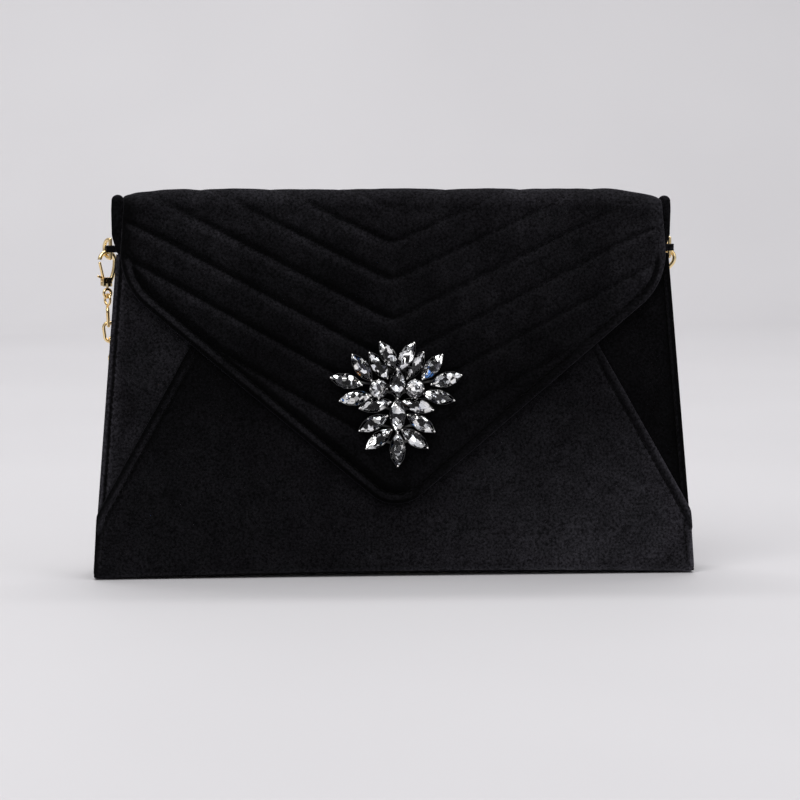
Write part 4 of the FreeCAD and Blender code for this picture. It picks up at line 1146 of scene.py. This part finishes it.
def setting(ring, place, cup, claws, pointed):
    """Oxidised cup with a lip round the stone, and a silver claw at each end and side."""
    verts, faces = cup
    count, start = len(ring), len(verts)
    profile = [(0.90, -2.1), (1.0, -1.6), (1.04, -0.5), (1.06, 0.0), (1.04, 0.14), (1.0, 0.08), (0.97, -0.4)]
    verts += placed([(a * scale, b * (1 + (scale - 1) * 0.6), height)
                     for scale, height in profile for a, b in ring], place)
    faces += grid_faces(len(profile), count, start, close=True)
    faces.append(tuple(start + k for k in range(count)))
    top, far = max(b for _, b in ring), max(a for a, _ in ring)
    beside = (far * 0.93, top * 0.16, 0.42) if pointed else (far, 0.0, 0.55)
    verts, faces = claws
    for a, b, size in ((0.0, top, 0.62), (0.0, -top, 0.62), beside, (-beside[0], -beside[1], beside[2])):
        faces += tube_faces(7, 8, len(verts))
        for lat in (math.pi * i / 6 for i in range(7)):
            reach, lean_in = size * (math.sin(lat) + 0.02), 0.22 * (1 + math.cos(lat))
            for lon in (math.tau * j / 8 for j in range(8)):
                verts += placed([(a * (1 - lean_in / 3.4 * (abs(a) > 0)) + reach * math.cos(lon),
                                  b * (1 - lean_in / 9.0) + reach * math.sin(lon),
                                  0.15 + size * 1.25 * math.cos(lat))], place)


def rod_between(a, b, radius, verts, faces):
    a, b = np.array(a, float), np.array(b, float)
    ahead = (b - a) / np.linalg.norm(b - a)
    side = np.cross(ahead, [0, 1.0, 0])
    side /= np.linalg.norm(side)
    up = np.cross(side, ahead)
    faces += tube_faces(3, 8, len(verts))
    for end in (a, (a + b) / 2, b):
        verts += [tuple(end + radius * (side * math.cos(t) + up * math.sin(t)))
                  for t in np.linspace(0, math.tau, 9)[:-1]]


def make_brooch():
    draw = np.random.default_rng(9)
    stones = []
    for across, up, lean, lift in PAIRED_STONES:
        for side in (1, -1):
            shift = draw.uniform(-0.4, 0.4, 2)
            stones.append(("pointed", 7.4, 3.3, (side * across + shift[0], up + shift[1],
                           side * (lean + draw.uniform(-3, 3)), lift, *draw.uniform(-7, 7, 2))))
    for up, half, lift in COLUMN_STONES:
        stones.append(("pointed", half, 3.6, (SPINE, up, 0.0, lift, *draw.uniform(-4, 4, 2))))
    for across, up in ROUND_STONES:
        for side in (1, -1):
            stones.append(("round", 4.2, 4.2, (side * across, up, 0.0, 0.3, *draw.uniform(-3, 3, 2))))
    glass = {"pointed": ([], []), "round": ([], [])}
    foil = {"pointed": ([], []), "round": ([], [])}
    cups, claws = ([], []), ([], [])
    for kind, long, wide, place in stones:
        ring = pointed_ring(long, wide) if kind == "pointed" else round_ring(wide)
        cut_stone(ring, place, glass[kind], foil[kind])
        setting([(a * 1.02, b * 1.02) for a, b in ring], place, cups, claws, pointed=kind == "pointed")
    for name, mesh, material, slot, replaced in (
        ("brooch_pointed_crystals", glass["pointed"], CRYSTAL, "crystal", ["stones_pointed"]),
        ("brooch_round_crystals", glass["round"], CRYSTAL, "crystal", ["stones_round"]),
        ("brooch_foils", foil["pointed"], GLINT_FOIL, "silver", []),
        ("brooch_round_foils", foil["round"], GLINT_FOIL_ROUND, "silver", []),
    ):
        finish_piece(add_mesh(name, *mesh, material, smooth=False), "flap", slot, *replaced)
    finish_piece(add_mesh("brooch_cups", *cups, TARNISHED), "flap", "silver", "brooch_settings")
    finish_piece(add_mesh("brooch_claws", *claws, SILVER), "flap", "silver")
    verts, faces = [], []
    spine = on_front([(SPINE, up, 6.1) for up in (19.0, 8.0, -4.0, -24.0)])
    for a, b in zip(spine, spine[1:]):
        rod_between(a, b, 0.8, verts, faces)
    for _, _, _, (across, up, _, lift, _, _) in stones:
        root = on_front([(SPINE, min(max(up - 3.0, -20.0), 15.0), 6.1)])[0]
        end = on_front([(across, up, 6.5 + lift * 0.4)])[0]
        if abs(across) > 1.0:
            rod_between(root, end, 0.7, verts, faces)
    finish_piece(add_mesh("brooch_branches", verts, faces, TARNISHED), "flap", "silver", "brooch_plate")


make_brooch()


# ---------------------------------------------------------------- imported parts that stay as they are
def dress(material, *names):
    for name in names:
        node = nodes[name]
        node.data.materials.clear()
        node.data.materials.append(material)
        node.data.polygons.foreach_set("material_index", [0] * len(node.data.polygons))


for side in ("left", "right"):
    dress(GOLD, *(f"{part}_{side}" for part in (
        "d_ring", "clasp_body", "clasp_gate", "gate_pin", "swivel_eye", "jump_ring")))
dress(STEEL, "snap_socket", "snap_magnet", "socket_washer", "snap_stud", "stud_washer")
dress(SILVER, "brooch_posts", "brooch_washers")
